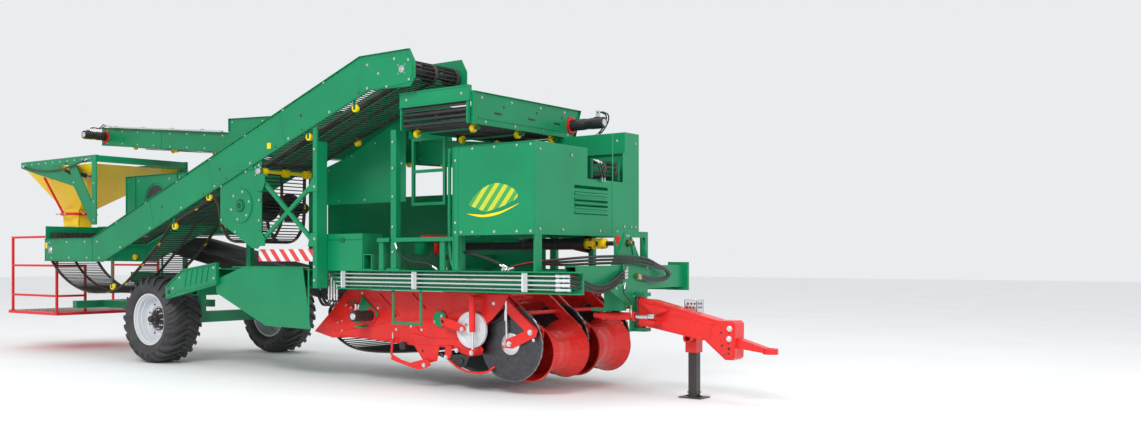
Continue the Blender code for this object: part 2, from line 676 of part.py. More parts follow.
def make_platform():
    x0, x1 = PLATFORM_X
    y0, y1 = PLATFORM_Y
    floor = tray(PLATFORM_X, PLATFORM_Y, (0.50, 0.54))
    t = 0.03
    inner = x1 - 0.08
    bars = []
    for y in (y0 + 0.03, y1 - 0.06):
        side = (y, y + t)
        bars += [
            slab((x, x + t), side, (0.536, 1.60)) for x in (x0 + 0.03, inner)
        ]
        bars += [slab((x0 + 0.03, inner + t), side, (z, z + t)) for z in (0.75, 1.17, 1.57)]
    returns = [slab((inner, inner + t), (y0 + 0.03, -0.60), (z, z + t)) for z in (0.75, 1.17)]
    returns.append(slab((inner, inner + t), (-0.63, -0.60), (0.536, 1.20)))
    part("bag_platform", united(floor, *bars, *returns), "red", PLATFORM_HINGE)


def make_digger():
    outline = [
        (2.60, 0.49), (2.86, 0.72), (3.10, 0.955), (5.22, 0.955), (5.12, 0.80), (5.00, 0.73),
        (4.94, 0.60), (4.86, 0.37), (4.74, 0.335), (4.52, 0.41), (4.00, 0.41), (3.60, 0.43),
        (3.20, 0.46), (2.88, 0.43),
    ]
    inside = (-DIGGER_Y + PLATE + GAP, DIGGER_Y - PLATE - GAP)
    tube_x, tube_z = 4.70, 0.86
    cross_tube = rod((tube_x, -DIGGER_Y, tube_z), (tube_x, inside[1], tube_z), 0.045, sides=12)
    plates = [side_plate(outline, (y - PLATE, y + PLATE)) for y in (-DIGGER_Y, DIGGER_Y)]
    part("digger_near_plate", united(plates[0], cross_tube), "red", DIGGER_HINGE)
    part("digger_far_plate", plates[1], "red", DIGGER_HINGE)
    share = [(4.33, 0.33), (4.35, 0.36), (4.82, 0.205), (4.80, 0.185)]
    part("digger_share", side_plate(share, inside), "steel", DIGGER_HINGE)
    rear, front = (2.86, 0.70), (4.42, 0.44)
    belly = [(2.80, 0.56), (2.90, 0.44), (3.08, 0.35), (3.30, 0.31), (3.64, 0.31), (4.10, 0.345)]
    path = [
        *arc(front, 0.05, -90, 80, 5), *arc(rear, 0.08, 80, 190, 4), *smooth(belly),
    ]
    web_y = (-DIGGER_Y + 0.03, DIGGER_Y - 0.03)
    part("digger_web", band(path, WEB_T, web_y, True), "web", DIGGER_HINGE)
    hub = (4.80, -DIGGER_Y - PLATE - 0.012, 0.60)
    wheel = [
        (0, -0.06), (0.045, -0.06), (0.05, -0.02), (0.15, -0.012), (0.175, -0.04), (0.175, 0),
        (0, 0),
    ]
    part("haulm_wheel", turned(wheel, hub, 24), "rim", hub)


def make_yokes():
    roller_arm = [
        (4.91, 0.90), (4.95, 0.965), (5.12, 0.95), (5.52, 0.62), (5.51, 0.55), (5.39, 0.37),
        (5.30, 0.37), (5.29, 0.44), (5.40, 0.575), (5.08, 0.85),
    ]
    disc_arm = [
        (4.91, 0.90), (4.95, 0.965), (5.12, 0.95), (5.52, 0.62), (5.50, 0.56), (5.24, 0.44),
        (5.16, 0.44), (5.16, 0.52), (5.38, 0.61), (5.08, 0.85),
    ]
    x, z = YOKE_PIVOT
    pivot = (x, 0, z)
    for name, side in (("near", -1), ("far", 1)):
        def across(low, high):
            return tuple(sorted((side * low, side * high)))

        pieces = [
            rod((x, side * 0.06, z), (x, side * 0.8435, z), 0.03, sides=12),
            side_plate(disc_arm, across(0.820, 0.835)),
            side_plate(roller_arm, across(0.712, 0.735)),
            side_plate(roller_arm, across(0.065, 0.088)),
            rod((5.26, side * 0.075, 0.765), (5.26, side * 0.722, 0.765), 0.02, sides=10),
        ]
        part(name + "_roller_yoke", united(*pieces), "red", pivot)
        half = ROLLER_HALF
        skin = [(0.285, 1.0), (0.235, 0.66), (0.207, 0.33), (0.20, 0.0)]
        outer = [(r, -half * s) for r, s in skin] + [(r, half * s) for r, s in skin[-2::-1]]
        right = [
            (0.273, half), (0.223, 0.66 * half), (0.19, 0.012), (0.04, 0.012), (0.04, half - 0.03),
            (0, half - 0.03),
        ]
        left = [(r, -y) for r, y in reversed(right)]
        centre = (ROLLER[0], side * ROLLER_Y, ROLLER[1])
        part(name + "_diabolo_roller", turned(left + outer + right, centre, 28), "red", centre)
    blade = [(0, -0.02), (0.09, -0.02), (0.10, -0.005), (DISC_R, -0.004), (DISC_R, 0.004),
             (0.10, 0.005), (0, 0.005)]
    for name, y, face in (
        ("near_disc", -DISC_SIDE_Y + 0.004, 1), ("middle_disc", 0.0, 1),
        ("far_disc", DISC_SIDE_Y - 0.004, -1),
    ):
        centre = (DISC[0], y, DISC[1])
        made = turned([(r, face * s) for r, s in blade], centre, 32)
        part(name, made, "dark", centre)


def make_headstock():
    front_plate = [
        (-0.50, 0.995), (-0.50, 1.03), (-0.27, 1.06), (-0.27, 1.25), (0.27, 1.25), (0.21, 1.03),
        (0.15, LUG_Z[0]), (-0.12, LUG_Z[0]), (-0.12, 0.82),
    ]
    x0 = BEAM_X[1] + CLEAR
    lugs = [slab((x0 + 0.002, 6.20), (-0.06, 0.06), z) for z in (
        (LUG_Z[0], LUG_Z[0] + LUG_T), (LUG_Z[1], LUG_Z[1] + LUG_T))]
    wedge = [(-0.27, BEAM_Z[1] + CLEAR), (0.27, BEAM_Z[1] + CLEAR), (0.05, 1.53), (-0.05, 1.53)]
    bore = rod((5.8, 0, PTO_Z), (6.2, 0, PTO_Z), 0.036)
    part("headstock", united(
        cross_plate(front_plate, (x0, x0 + 0.018)),
        *lugs,
        slab((5.90, x0 + 0.01), (-0.29, -0.19), (0.80, BEAM_Z[0] - CLEAR)),
        slab((5.76, 5.96), (-0.28, -0.20), (0.79, 0.815)),
        slab((5.965, x0 + 0.01), (-0.265, 0.265), (BEAM_Z[1] + CLEAR, 1.245)),
        without(cross_plate(wedge, (5.96, 5.985)), bore),
    ), "green")
    profile = [
        (0, 3.92), (0.035, 3.92), (0.058, 3.97), (0.058, 5.40), (0.045, 5.42), (0.045, 5.60),
        (0.022, 5.63), (0.022, 6.05), (0, 6.05),
    ]
    shaft = turned(profile, (0, 0, 0), 20)
    shaft.data.transform(Matrix.Rotation(-math.pi / 2, 4, "Z"))
    shaft.data.transform(Matrix.Translation((0, 0, PTO_Z)))
    part("pto_shaft", shaft, "dark", (5.0, 0, PTO_Z))
    box = slab((3.50, 3.74), (-0.12, 0.12), (1.33, 1.53))
    boss = rod((3.70, 0, PTO_Z), (3.90, 0, PTO_Z), 0.055)
    part("pto_gearbox", united(box, boss), "red")


def make_drawbar():
    x, y = DRAWBAR_PIVOT
    low, high = LUG_Z[0] + LUG_T + GAP, LUG_Z[1] - GAP
    girder = [
        (6.15, 0.66), (6.15, 0.905), (6.27, 0.90), (7.02, 0.715), (7.02, 0.58), (6.80, 0.55),
        (6.27, 0.645),
    ]
    hitch = [
        (6.93, 0.735), (7.08, 0.735), (7.105, 0.71), (7.10, 0.41), (7.08, 0.39), (7.01, 0.39),
        (6.82, 0.55), (6.90, 0.60),
    ]
    tongue = [(7.05, 0.50), (7.05, 0.60), (7.38, 0.50), (7.38, 0.46)]
    eye = rod((7.385, 0, 0.455), (7.385, 0, 0.505), 0.065, sides=20)
    lug = slab((6.31, 6.39), (-0.24, -0.06), (0.69, 0.715))
    whole = united(
        side_plate(girder, (-0.08, 0.08)),
        rod((x, y, low), (x, y, high), 0.038),
        side_plate(hitch, (-0.092, 0.092)),
        side_plate(tongue, (-0.05, 0.05)),
        eye, lug,
    )
    hole = rod((7.385, 0, 0.4), (7.385, 0, 0.6), 0.032, sides=16)
    jx, jy = JACK
    sleeve = without(
        slab((jx - 0.055, jx + 0.055), (0.075, jy + 0.055), (0.42, 0.88)),
        slab((jx - 0.042, jx + 0.042), (jy - 0.042, jy + 0.042), (0.3, 0.86)),
    )
    part("drawbar", united(without(whole, hole), sleeve), "red", (x, y, 0.78))
    half = JACK_LEG / 2
    leg = united(
        slab((jx - half, jx + half), (jy - half, jy + half), (0.006, 0.52)),
        slab((jx - 0.11, jx + 0.11), (jy - 0.10, jy + 0.10), (0.0, 0.012)),
    )
    part("jack_leg", leg, "dark", (jx, jy, 0))
    ram = CYLINDER_ROD - CYLINDER_REAR
    aim = Vector((0, 1, 0)).rotation_difference(ram).to_matrix().to_4x4()
    barrel = turned([
        (0, -0.03), (0.025, -0.03), (0.03, 0.035), (0.036, 0.04), (0.036, 0.35), (0.0195, 0.35),
        (0.0195, 0.12), (0, 0.12),
    ], (0, 0, 0), 20)
    stem = turned([
        (0, 0.20), (0.0185, 0.20), (0.0185, ram.length - 0.04), (0.028, ram.length - 0.03),
        (0.028, ram.length + 0.03), (0, ram.length + 0.03),
    ], (0, 0, 0), 20)
    for name, made, finish in (("steering_barrel", barrel, "red"), ("steering_rod", stem, "steel")):
        made.data.transform(aim)
        made.data.transform(Matrix.Translation(CYLINDER_REAR))
        part(name, made, finish, CYLINDER_REAR)


make_wheels()
make_chassis()
make_frame()
make_pipes()
make_boxes()
make_elevator()
make_conveyors()
make_hopper()
make_platform()
make_digger()
make_yokes()
make_headstock()
make_drawbar()
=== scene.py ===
"""Looks of a trailed two-row potato harvester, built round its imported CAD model.

Pieces are measured from the middle of the axle, as the machine's own drawing would be: +X runs
forward to the drawbar, +Y to the far side and +Z up. Shape.done() moves each one into the frame.
"""
import math

import bmesh
import bpy
from mathutils import Matrix, Vector


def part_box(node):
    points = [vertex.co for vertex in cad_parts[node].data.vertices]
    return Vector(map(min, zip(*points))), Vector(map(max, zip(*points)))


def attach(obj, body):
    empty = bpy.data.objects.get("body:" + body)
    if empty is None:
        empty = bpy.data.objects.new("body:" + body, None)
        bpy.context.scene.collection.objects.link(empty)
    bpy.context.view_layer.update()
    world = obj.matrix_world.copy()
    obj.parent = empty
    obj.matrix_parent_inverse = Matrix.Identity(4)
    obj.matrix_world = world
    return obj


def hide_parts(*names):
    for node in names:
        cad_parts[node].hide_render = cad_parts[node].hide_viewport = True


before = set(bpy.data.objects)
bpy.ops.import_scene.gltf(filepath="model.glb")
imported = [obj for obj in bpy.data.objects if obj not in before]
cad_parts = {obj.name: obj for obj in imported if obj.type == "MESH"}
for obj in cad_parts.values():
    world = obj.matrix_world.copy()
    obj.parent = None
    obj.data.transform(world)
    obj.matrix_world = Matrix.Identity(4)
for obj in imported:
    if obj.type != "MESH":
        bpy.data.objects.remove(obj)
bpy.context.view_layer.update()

near_low, near_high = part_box("near_tyre")
far_low, far_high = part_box("far_tyre")
ORIGIN = Vector(((near_low.x + near_high.x) / 2, (near_low.y + far_high.y) / 2, 0))
HOLE_RISE = 0.0008  # how far a dark disc of painted hole shade stands off its face
UP = Vector((0, 0, 1))
NEAR = Vector((0, -1, 0))


def span(node):
    """A CAD node's low and high X, Y and Z, measured from the axle."""
    low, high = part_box(node)
    return [(a - o, b - o) for a, b, o in zip(low, high, ORIGIN)]


# --- Materials -----------------------------------------------------------------------------


def socket(shader, **values):
    """Sets inputs of a shader by name, with an underscore for each space."""
    for name, value in values.items():
        shader.inputs[name.replace("_", " ")].default_value = value


class Nodes:
    """A material's node tree, with short ways to add what the materials here share."""

    def __init__(self, name):
        self.material = bpy.data.materials.new(name)
        self.material.use_nodes = True
        self.tree = self.material.node_tree
        self.shader = self.tree.nodes["Principled BSDF"]
        self.place = self.add("ShaderNodeTexCoord").outputs["Object"]

    def add(self, kind, **settings):
        node = self.tree.nodes.new(kind)
        for name, value in settings.items():
            setattr(node, name, value)
        return node

    def link(self, out, into):
        self.tree.links.new(out, into)

    def noise(self, scale, detail=4.0, roughness=0.55, stretch=None):
        node = self.add("ShaderNodeTexNoise")
        node.inputs["Scale"].default_value = scale
        node.inputs["Detail"].default_value = detail
        node.inputs["Roughness"].default_value = roughness
        source = self.place
        if stretch:
            mapping = self.add("ShaderNodeMapping")
            mapping.inputs["Scale"].default_value = stretch
            self.link(self.place, mapping.inputs["Vector"])
            source = mapping.outputs["Vector"]
        self.link(source, node.inputs["Vector"])
        return node.outputs["Fac"]

    def ramp(self, source, *stops):
        node = self.add("ShaderNodeValToRGB")
        elements = node.color_ramp.elements
        while len(elements) < len(stops):
            elements.new(0.5)
        for element, (position, colour) in zip(elements, stops):
            element.position = position
            element.color = (*colour, 1.0) if len(colour) == 3 else colour
        self.link(source, node.inputs["Fac"])
        return node.outputs["Color"]

    def mix(self, factor, first, second, blend="MIX"):
        node = self.add("ShaderNodeMix", data_type="RGBA", blend_type=blend)
        for into, value in ((node.inputs[0], factor), (node.inputs[6], first),
                            (node.inputs[7], second)):
            if isinstance(value, bpy.types.NodeSocket):
                self.link(value, into)
            elif isinstance(value, (int, float)):
                into.default_value = value
            else:
                into.default_value = (*value, 1.0)
        return node.outputs[2]

    def math(self, operation, first, second=0.0):
        node = self.add("ShaderNodeMath", operation=operation)
        for into, value in zip(node.inputs, (first, second)):
            if isinstance(value, bpy.types.NodeSocket):
                self.link(value, into)
            else:
                into.default_value = value
        return node.outputs[0]

    def between(self, source, low, high):
        node = self.add("ShaderNodeMapRange")
        node.inputs["To Min"].default_value = low
        node.inputs["To Max"].default_value = high
        self.link(source, node.inputs["Value"])
        return node.outputs["Result"]

    def bump(self, height, strength, distance=0.002):
        node = self.add("ShaderNodeBump")
        node.inputs["Strength"].default_value = strength
        node.inputs["Distance"].default_value = distance
        self.link(height, node.inputs["Height"])
        self.link(node.outputs["Normal"], self.shader.inputs["Normal"])


def shade(colour, factor):
    return tuple(min(1.0, c * factor) for c in colour)


def paint(name, colour, gloss=0.30, dust=0.35):
    """Enamel on steel: uneven tone, orange peel, and field dust that thins out with height."""
    nodes = Nodes(name)
    tone = nodes.ramp(nodes.noise(1.3), (0.3, shade(colour, 0.88)), (0.7, shade(colour, 1.08)))
    speck = nodes.ramp(nodes.noise(38.0, 6.0), (0.55, (0, 0, 0)), (0.75, (1, 1, 1)))
    height = nodes.add("ShaderNodeSeparateXYZ")
    nodes.link(nodes.place, height.inputs[0])
    low = nodes.math("SUBTRACT", 1.0, nodes.math("MULTIPLY", height.outputs[2], 0.9))
    share = nodes.math("MULTIPLY", nodes.math("MAXIMUM", low, 0.06), dust * 0.35)
    share = nodes.math("MULTIPLY", share, nodes.noise(5.0, 5.0))
    dusty = nodes.mix(share, tone, (0.32, 0.26, 0.19))
    final = nodes.mix(nodes.math("MULTIPLY", speck, 0.05), dusty, shade(colour, 0.4))
    nodes.link(final, nodes.shader.inputs["Base Color"])
    nodes.link(nodes.between(nodes.noise(7.0, 5.0), gloss - 0.07, gloss + 0.13),
               nodes.shader.inputs["Roughness"])
    nodes.bump(nodes.noise(160.0, 2.0), 0.06)
    socket(nodes.shader, Coat_Weight=0.08, Coat_Roughness=0.15, Specular_IOR_Level=0.28)
    return nodes.material


def metal(name, colour, rough=0.28, stretch=(1, 1, 1), scale=60.0):
    """Bright or brushed metal with fine scratches and a few duller patches."""
    nodes = Nodes(name)
    lines = nodes.noise(scale, 5.0, 0.6, stretch)
    tone = nodes.ramp(lines, (0.3, shade(colour, 0.72)), (0.7, shade(colour, 1.08)))
    nodes.link(tone, nodes.shader.inputs["Base Color"])
    nodes.link(nodes.between(nodes.noise(9.0, 5.0), rough - 0.1, rough + 0.16),
               nodes.shader.inputs["Roughness"])
    nodes.bump(lines, 0.08, 0.001)
    socket(nodes.shader, Metallic=1.0)
    return nodes.material


def rubber(name, colour, dust_colour, rough=0.62, dust=0.5, scale=24.0):
    """Rubber or dull plastic with soil dust that gathers in patches."""
    nodes = Nodes(name)
    patches = nodes.ramp(nodes.noise(scale / 6, 6.0, 0.65), (0.42, (0, 0, 0)), (0.75, (1, 1, 1)))
    mixed = nodes.mix(nodes.math("MULTIPLY", patches, dust), colour, dust_colour)
    nodes.link(mixed, nodes.shader.inputs["Base Color"])
    nodes.link(nodes.between(nodes.noise(scale, 4.0), rough - 0.12, rough + 0.12),
               nodes.shader.inputs["Roughness"])
    nodes.bump(nodes.noise(scale * 8, 3.0), 0.15)
    return nodes.material


def striped(name, first, second, width, slope, rough=0.3):
    """Straight diagonal bands of two colours in X and Z."""
    nodes = Nodes(name)
    axes = nodes.add("ShaderNodeSeparateXYZ")
    nodes.link(nodes.place, axes.inputs[0])
    along = nodes.math("ADD", axes.outputs[0], nodes.math("MULTIPLY", axes.outputs[2], slope))
    step = nodes.math("FRACT", nodes.math("DIVIDE", along, width * 2))
    band = nodes.math("GREATER_THAN", step, 0.5)
    grime = nodes.between(nodes.noise(14.0, 6.0), 0.0, 0.22)
    bands = nodes.mix(band, first, second)
    nodes.link(nodes.mix(grime, bands, (0.25, 0.2, 0.15)), nodes.shader.inputs["Base Color"])
    nodes.bump(nodes.noise(240.0, 1.0), 0.12)
    socket(nodes.shader, Roughness=rough)
    return nodes.material


GREEN = (0.002, 0.232, 0.092)
RED = (0.74, 0.018, 0.016)
YELLOW = (0.96, 0.66, 0.002)

FINISH = {
    "green": paint("green_enamel", GREEN),
    # A darkened copy of the green enamel: painted shade for parts that sit under, behind or between
    # others.
    "green_painted_shade": paint("green_enamel_painted_shade", shade(GREEN, 0.55), 0.42),
    "red": paint("red_enamel", RED, 0.24, 0.25),
    "red_worn": paint("red_enamel_worn", shade(RED, 0.9), 0.34, 0.7),
    "yellow": paint("yellow_enamel", YELLOW, 0.35),
    "white": paint("white_enamel", (0.70, 0.73, 0.76), 0.35, 0.6),
    "black": paint("black_enamel", (0.022, 0.022, 0.026), 0.35, 0.5),
    "steel": metal("bright_steel", (0.66, 0.68, 0.70)),
    "zinc": metal("zinc_plated", (0.78, 0.79, 0.80), 0.22, (1, 8, 8), 90.0),
    "blade": metal("blade_steel", (0.10, 0.10, 0.11), 0.38, (1, 1, 1), 30.0),
    "brass": metal("brass_tip", (0.62, 0.44, 0.18), 0.3),
    "web": rubber("web_rubber", (0.018, 0.018, 0.022), (0.085, 0.062, 0.045), 0.5, 0.45),
    "belt": rubber("belt_rubber", (0.035, 0.028, 0.024), (0.14, 0.095, 0.065), 0.6, 0.6),
    "tyre": rubber("tyre_rubber", (0.034, 0.034, 0.038), (0.12, 0.105, 0.09), 0.62, 0.4),
    "hose": rubber("hose_rubber", (0.012, 0.012, 0.014), (0.05, 0.045, 0.04), 0.38, 0.3),
    # Black plastic, and also the painted shade inside holes, slots and openings, drawn as flat dark
    # discs and sheets.
    "plastic_and_hole_shade": rubber("black_plastic", (0.016, 0.016, 0.018), (0.05, 0.045, 0.04), 0.42, 0.3),
    "stripes": striped("hazard_stripes", (0.78, 0.80, 0.82), (0.72, 0.03, 0.03), 0.075, 0.9),
    "decal": striped("leaf_decal", (0.55, 0.62, 0.02), (0.03, 0.36, 0.06), 0.055, -0.8),
}


# --- Shapes --------------------------------------------------------------------------------


def lathe_points(profile, centre, axis, steps):
    """Rings of points for a (radius, along) profile about an axis through the centre."""
    axis = Vector(axis).normalized()
    side = axis.orthogonal().normalized()
    other = axis.cross(side)
    turns = [math.tau * i / steps for i in range(steps)]
    return [
        [Vector(centre) + axis * along + (side * math.cos(t) + other * math.sin(t)) * radius
         for t in turns]
        for radius, along in profile
    ]


class Shape:
    """A mesh under construction, in metres from the middle of the axle."""

    def __init__(self):
        self.mesh = bmesh.new()

    def box(self, x, y, z, turn=None):
        size = Matrix.Diagonal((x[1] - x[0], y[1] - y[0], z[1] - z[0], 1.0))
        place = Matrix.Translation((sum(x) / 2, sum(y) / 2, sum(z) / 2))
        spin = turn.to_4x4() if turn else Matrix.Identity(4)
        bmesh.ops.create_cube(self.mesh, size=1.0, matrix=place @ spin @ size)
        return self

    def rod(self, start, end, radius, end_radius=None, sides=12):
        start, end = Vector(start), Vector(end)
        spin = (end - start).to_track_quat("Z", "Y").to_matrix().to_4x4()
        bmesh.ops.create_cone(
            self.mesh, cap_ends=True, segments=sides, radius1=radius,
            radius2=radius if end_radius is None else end_radius, depth=(end - start).length,
            matrix=Matrix.Translation((start + end) / 2) @ spin,
        )
        return self

    def ball(self, centre, radius, squash=(1, 1, 1)):
        matrix = Matrix.Translation(centre) @ Matrix.Diagonal((*squash, 1.0))
        bmesh.ops.create_uvsphere(
            self.mesh, u_segments=16, v_segments=10, radius=radius, matrix=matrix)
        return self

    def rings(self, rings, capped=True, closed=False):
        """Skins rings of points, one after the other."""
        verts = [[self.mesh.verts.new(point) for point in ring] for ring in rings]
        count = len(verts[0])
        pairs = list(zip(verts, verts[1:] + verts[:1] if closed else verts[1:]))
        for low, high in pairs:
            for i in range(count):
                j = (i + 1) % count
                self.mesh.faces.new((low[i], low[j], high[j], high[i]))
        if capped and not closed:
            self.mesh.faces.new(verts[0][::-1])
            self.mesh.faces.new(verts[-1])
        return self

    def turned(self, profile, centre, axis=(0, 1, 0), steps=32, closed=False):
        """A (radius, along) profile turned about an axis. Its ends are capped or joined."""
        return self.rings(lathe_points(profile, centre, axis, steps), closed=closed)

    def prism(self, outline, across, plane="xz"):
        """A flat outline with a thickness: plane is xz, yz or xy."""
        def corner(u, v, w):
            return {"xz": (u, w, v), "yz": (w, u, v), "xy": (u, v, w)}[plane]

        self.rings([[corner(u, v, w) for u, v in outline] for w in across])
        return self

    def tube(self, points, radius, sides=8):
        """A round tube swept along points."""
        points = [Vector(point) for point in points]
        rings = []
        side = None
        for i, point in enumerate(points):
            along = (points[min(i + 1, len(points) - 1)] - points[max(i - 1, 0)]).normalized()
            if side is None:
                side = along.orthogonal().normalized()
            side = (side - along * side.dot(along)).normalized()
            other = along.cross(side)
            rings.append([
                point + (side * math.cos(a) + other * math.sin(a)) * radius
                for a in (math.tau * k / sides for k in range(sides))
            ])
        return self.rings(rings)

    def ribbon(self, path, across, thickness, closed=False, plane="xz"):
        """A flat strip of even thickness that follows a path in X and Z, or in Y and Z."""
        points = [Vector(point) for point in path]
        rings = []
        for i, point in enumerate(points):
            before = points[i - 1] if closed or i else point
            after = points[(i + 1) % len(points)] if closed or i < len(points) - 1 else point
            along = (after - before).normalized()
            normal = Vector((-along.y, along.x)) * thickness / 2
            corners = [(point + normal, across[0]), (point + normal, across[1]),
                       (point - normal, across[1]), (point - normal, across[0])]
            rings.append([
                (p.x, side, p.y) if plane == "xz" else (side, p.x, p.y) for p, side in corners
            ])
        return self.rings(rings, capped=not closed, closed=closed)

    def bolt(self, place, normal=NEAR, radius=0.013):
        """A washer and a hexagon head that stand on a face."""
        place, normal = Vector(place), Vector(normal).normalized()
        self.rod(place - normal * 0.001, place + normal * 0.003, radius * 1.35, sides=14)
        self.rod(place, place + normal * radius * 0.85, radius, radius * 0.92, sides=6)
        return self

    def near_bolts(self, y, radius, places):
        """Bolts at X and Z on a face that looks to the near side."""
        for x, z in places:
            self.bolt((x, y, z), NEAR, radius)
        return self

    def near_holes(self, y, radius, places, sides=14):
        """Flat dark spots at X and Z: painted shade that stands for holes in a near face."""
        for x, z in places:
            self.rod((x, y, z), (x, y - HOLE_RISE, z), radius, sides=sides)
        return self

    def idle_roller(self, centre, axis, radius, width, steps):
        """A short roller with rounded edges that turns about an axis."""
        profile = [(0.001, 0), (radius - 0.004, 0), (radius, 0.006), (radius, width - 0.006),
                   (radius - 0.004, width), (0.001, width)]
        return self.turned(profile, centre, axis, steps)

    def done(self, name, body, finish, replaces=(), bevel=0.0, angle=38):
        bmesh.ops.translate(self.mesh, vec=ORIGIN, verts=self.mesh.verts)
        bmesh.ops.recalc_face_normals(self.mesh, faces=self.mesh.faces)
        data = bpy.data.meshes.new(name)
        self.mesh.to_mesh(data)
        self.mesh.free()
        data.materials.append(FINISH[finish])
        data.shade_smooth()
        data.set_sharp_from_angle(angle=math.radians(angle))
        piece = bpy.data.objects.new(name, data)
        bpy.context.scene.collection.objects.link(piece)
        if bevel:
            edge = piece.modifiers.new("Edges", "BEVEL")
            edge.width = bevel
            edge.segments = 2
            edge.limit_method = "ANGLE"
            edge.angle_limit = math.radians(50)
            edge.use_clamp_overlap = True
        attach(piece, body)
        if replaces:
            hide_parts(*replaces)
        return piece


def turns(count, shift=0.0):
    """Angles that share a full turn out evenly, shifted by a part of a step."""
    return [math.tau * (i + shift) / count for i in range(count)]


def spoke(turn):
    """The direction at an angle in the plane of a wheel."""
    return Vector((math.cos(turn), 0, math.sin(turn)))


def arc(centre, radius, start, end, steps):
    """Points along an arc, with the angles in degrees from +X towards +Z."""
    angles = [math.radians(start + (end - start) * i / steps) for i in range(steps + 1)]
    return [(centre[0] + radius * math.cos(a), centre[1] + radius * math.sin(a)) for a in angles]


def smooth(points, steps=3):
    """A Catmull-Rom curve through the points."""
    ends = [points[0], *points, points[-1]]
    made = []
    for a, b, c, d in zip(ends, ends[1:], ends[2:], ends[3:]):
        a, b, c, d = map(Vector, (a, b, c, d))
        for i in range(steps):
            t = i / steps
            bend = (2 * a - 5 * b + 4 * c - d) * t * t + (3 * b - a - 3 * c + d) * t**3
            made.append(tuple((2 * b + (c - a) * t + bend) / 2))
    return [*made, points[-1]]


def loop(front, rear, radius, steps=8):
    """A web's path round two drums of one radius."""
    slope = math.degrees(math.atan2(rear[1] - front[1], rear[0] - front[0]))
    return [
        *arc(rear, radius, slope - 90, slope + 90, steps),
        *arc(front, radius, slope + 90, slope + 270, steps),
    ]


def spaced(path, pitch, closed=True):
    """Points a pitch apart along a path, each with the direction there."""
    points = [Vector(point) for point in path]
    if closed:
        points.append(points[0])
    made = []
    left = 0.0
    for first, second in zip(points, points[1:]):
        length = (second - first).length
        if length < 1e-6:
            continue
        along = (second - first) / length
        while left < length:
            made.append((first + along * left, along))
            left += pitch
        left -= length
    return made


# --- Camera, lights and floor --------------------------------------------------------------


def make_camera():
    camera = bpy.data.objects.new("camera", bpy.data.cameras.new("camera"))
    camera.data.sensor_width = 36.0
    camera.data.lens = 33.92
    camera.data.shift_x = 0.132
    camera.data.shift_y = 0.0377
    camera.location = ORIGIN + Vector((11.127, -9.063, 1.29))
    camera.rotation_euler = (math.radians(90), 0, math.radians(40.5))
    bpy.context.scene.collection.objects.link(camera)
    bpy.context.scene.camera = camera


def make_light(name, place, target, size, power, colour=(1, 1, 1)):
    data = bpy.data.lights.new(name, "AREA")
    data.shape = "RECTANGLE"
    data.size, data.size_y = size
    data.energy = power
    data.color = colour
    lamp = bpy.data.objects.new(name, data)
    lamp.location = place
    lamp.rotation_euler = (Vector(target) - Vector(place)).to_track_quat("-Z", "Y").to_euler()
    bpy.context.scene.collection.objects.link(lamp)


def make_studio():
    scene = bpy.context.scene
    scene.view_settings.view_transform = "Standard"
    world = bpy.data.worlds.new("studio")
    world.use_nodes = True
    background = world.node_tree.nodes["Background"]
    background.inputs["Color"].default_value = (0.96, 0.98, 1.0, 1.0)
    background.inputs["Strength"].default_value = 0.86
    scene.world = world
    make_light("key", (5.0, -13.0, 11.0), (0, 0, 1.5), (6, 4), 1150)
    make_light("front", (14.0, -3.0, 6.0), (2, 0, 1.2), (5, 5), 380)
    make_light("top", (0.0, 0.0, 13.0), (0, 0, 0), (12, 5), 300)
    mesh = bpy.data.meshes.new("floor")
    grid = bmesh.new()
    bmesh.ops.create_grid(grid, x_segments=1, y_segments=1, size=60.0)
    grid.to_mesh(mesh)
    grid.free()
    floor = bpy.data.objects.new("floor", mesh)
    floor.location.z = -0.001
    surface = Nodes("studio_floor")
    tone = surface.ramp(surface.noise(0.6), (0.3, (0.86, 0.86, 0.87)), (0.7, (0.90, 0.90, 0.90)))
    surface.link(tone, surface.shader.inputs["Base Color"])
    socket(surface.shader, Roughness=0.75)
    mesh.materials.append(surface.material)
    scene.collection.objects.link(floor)


make_camera()
make_studio()

# --- CAD nodes that stay in view -----------------------------------------------------------

NODE_FINISH = {
    "green": (
        "near_chassis far_chassis near_rail far_rail_and_front_beam rear_cross_beam axle_beam "
        "tower_post front_box far_box operator_platform guard_panel tool_box side_shield "
        "ribbed_arm elevator_near_plate elevator_far_plate elevator_side_frame "
        "cross_conveyor_frame filling_conveyor_frame hopper_frame rear_housing headstock gate"
    ),
    "red": (
        "bag_ring bag_platform digger_near_plate digger_far_plate near_roller_yoke "
        "far_roller_yoke near_diabolo_roller far_diabolo_roller pto_gearbox drawbar "
        "steering_barrel"
    ),
    "yellow": "hopper_funnel elevator_idler_roller",
    "black": (
        "elevator_head_drum elevator_tail_drum elevator_drive_drum jack_leg pto_shaft"
    ),
    "blade": "near_disc middle_disc far_disc digger_share",
    "white": "near_rim far_rim haulm_wheel",
    "zinc": "hydraulic_pipes steering_rod",
    "stripes": "hazard_board",
    "web": (
        "elevator_web elevator_return_web cross_web sieve_web discharge_web filling_web "
        "digger_web"
    ),
    "tyre": "near_tyre far_tyre",
}

for finish, names in NODE_FINISH.items():
    for name in names.split():
        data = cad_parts[name].data
        data.materials.clear()
        data.materials.append(FINISH[finish])


# --- Webs: rubber-coated rods on edge belts -------------------------------------------------


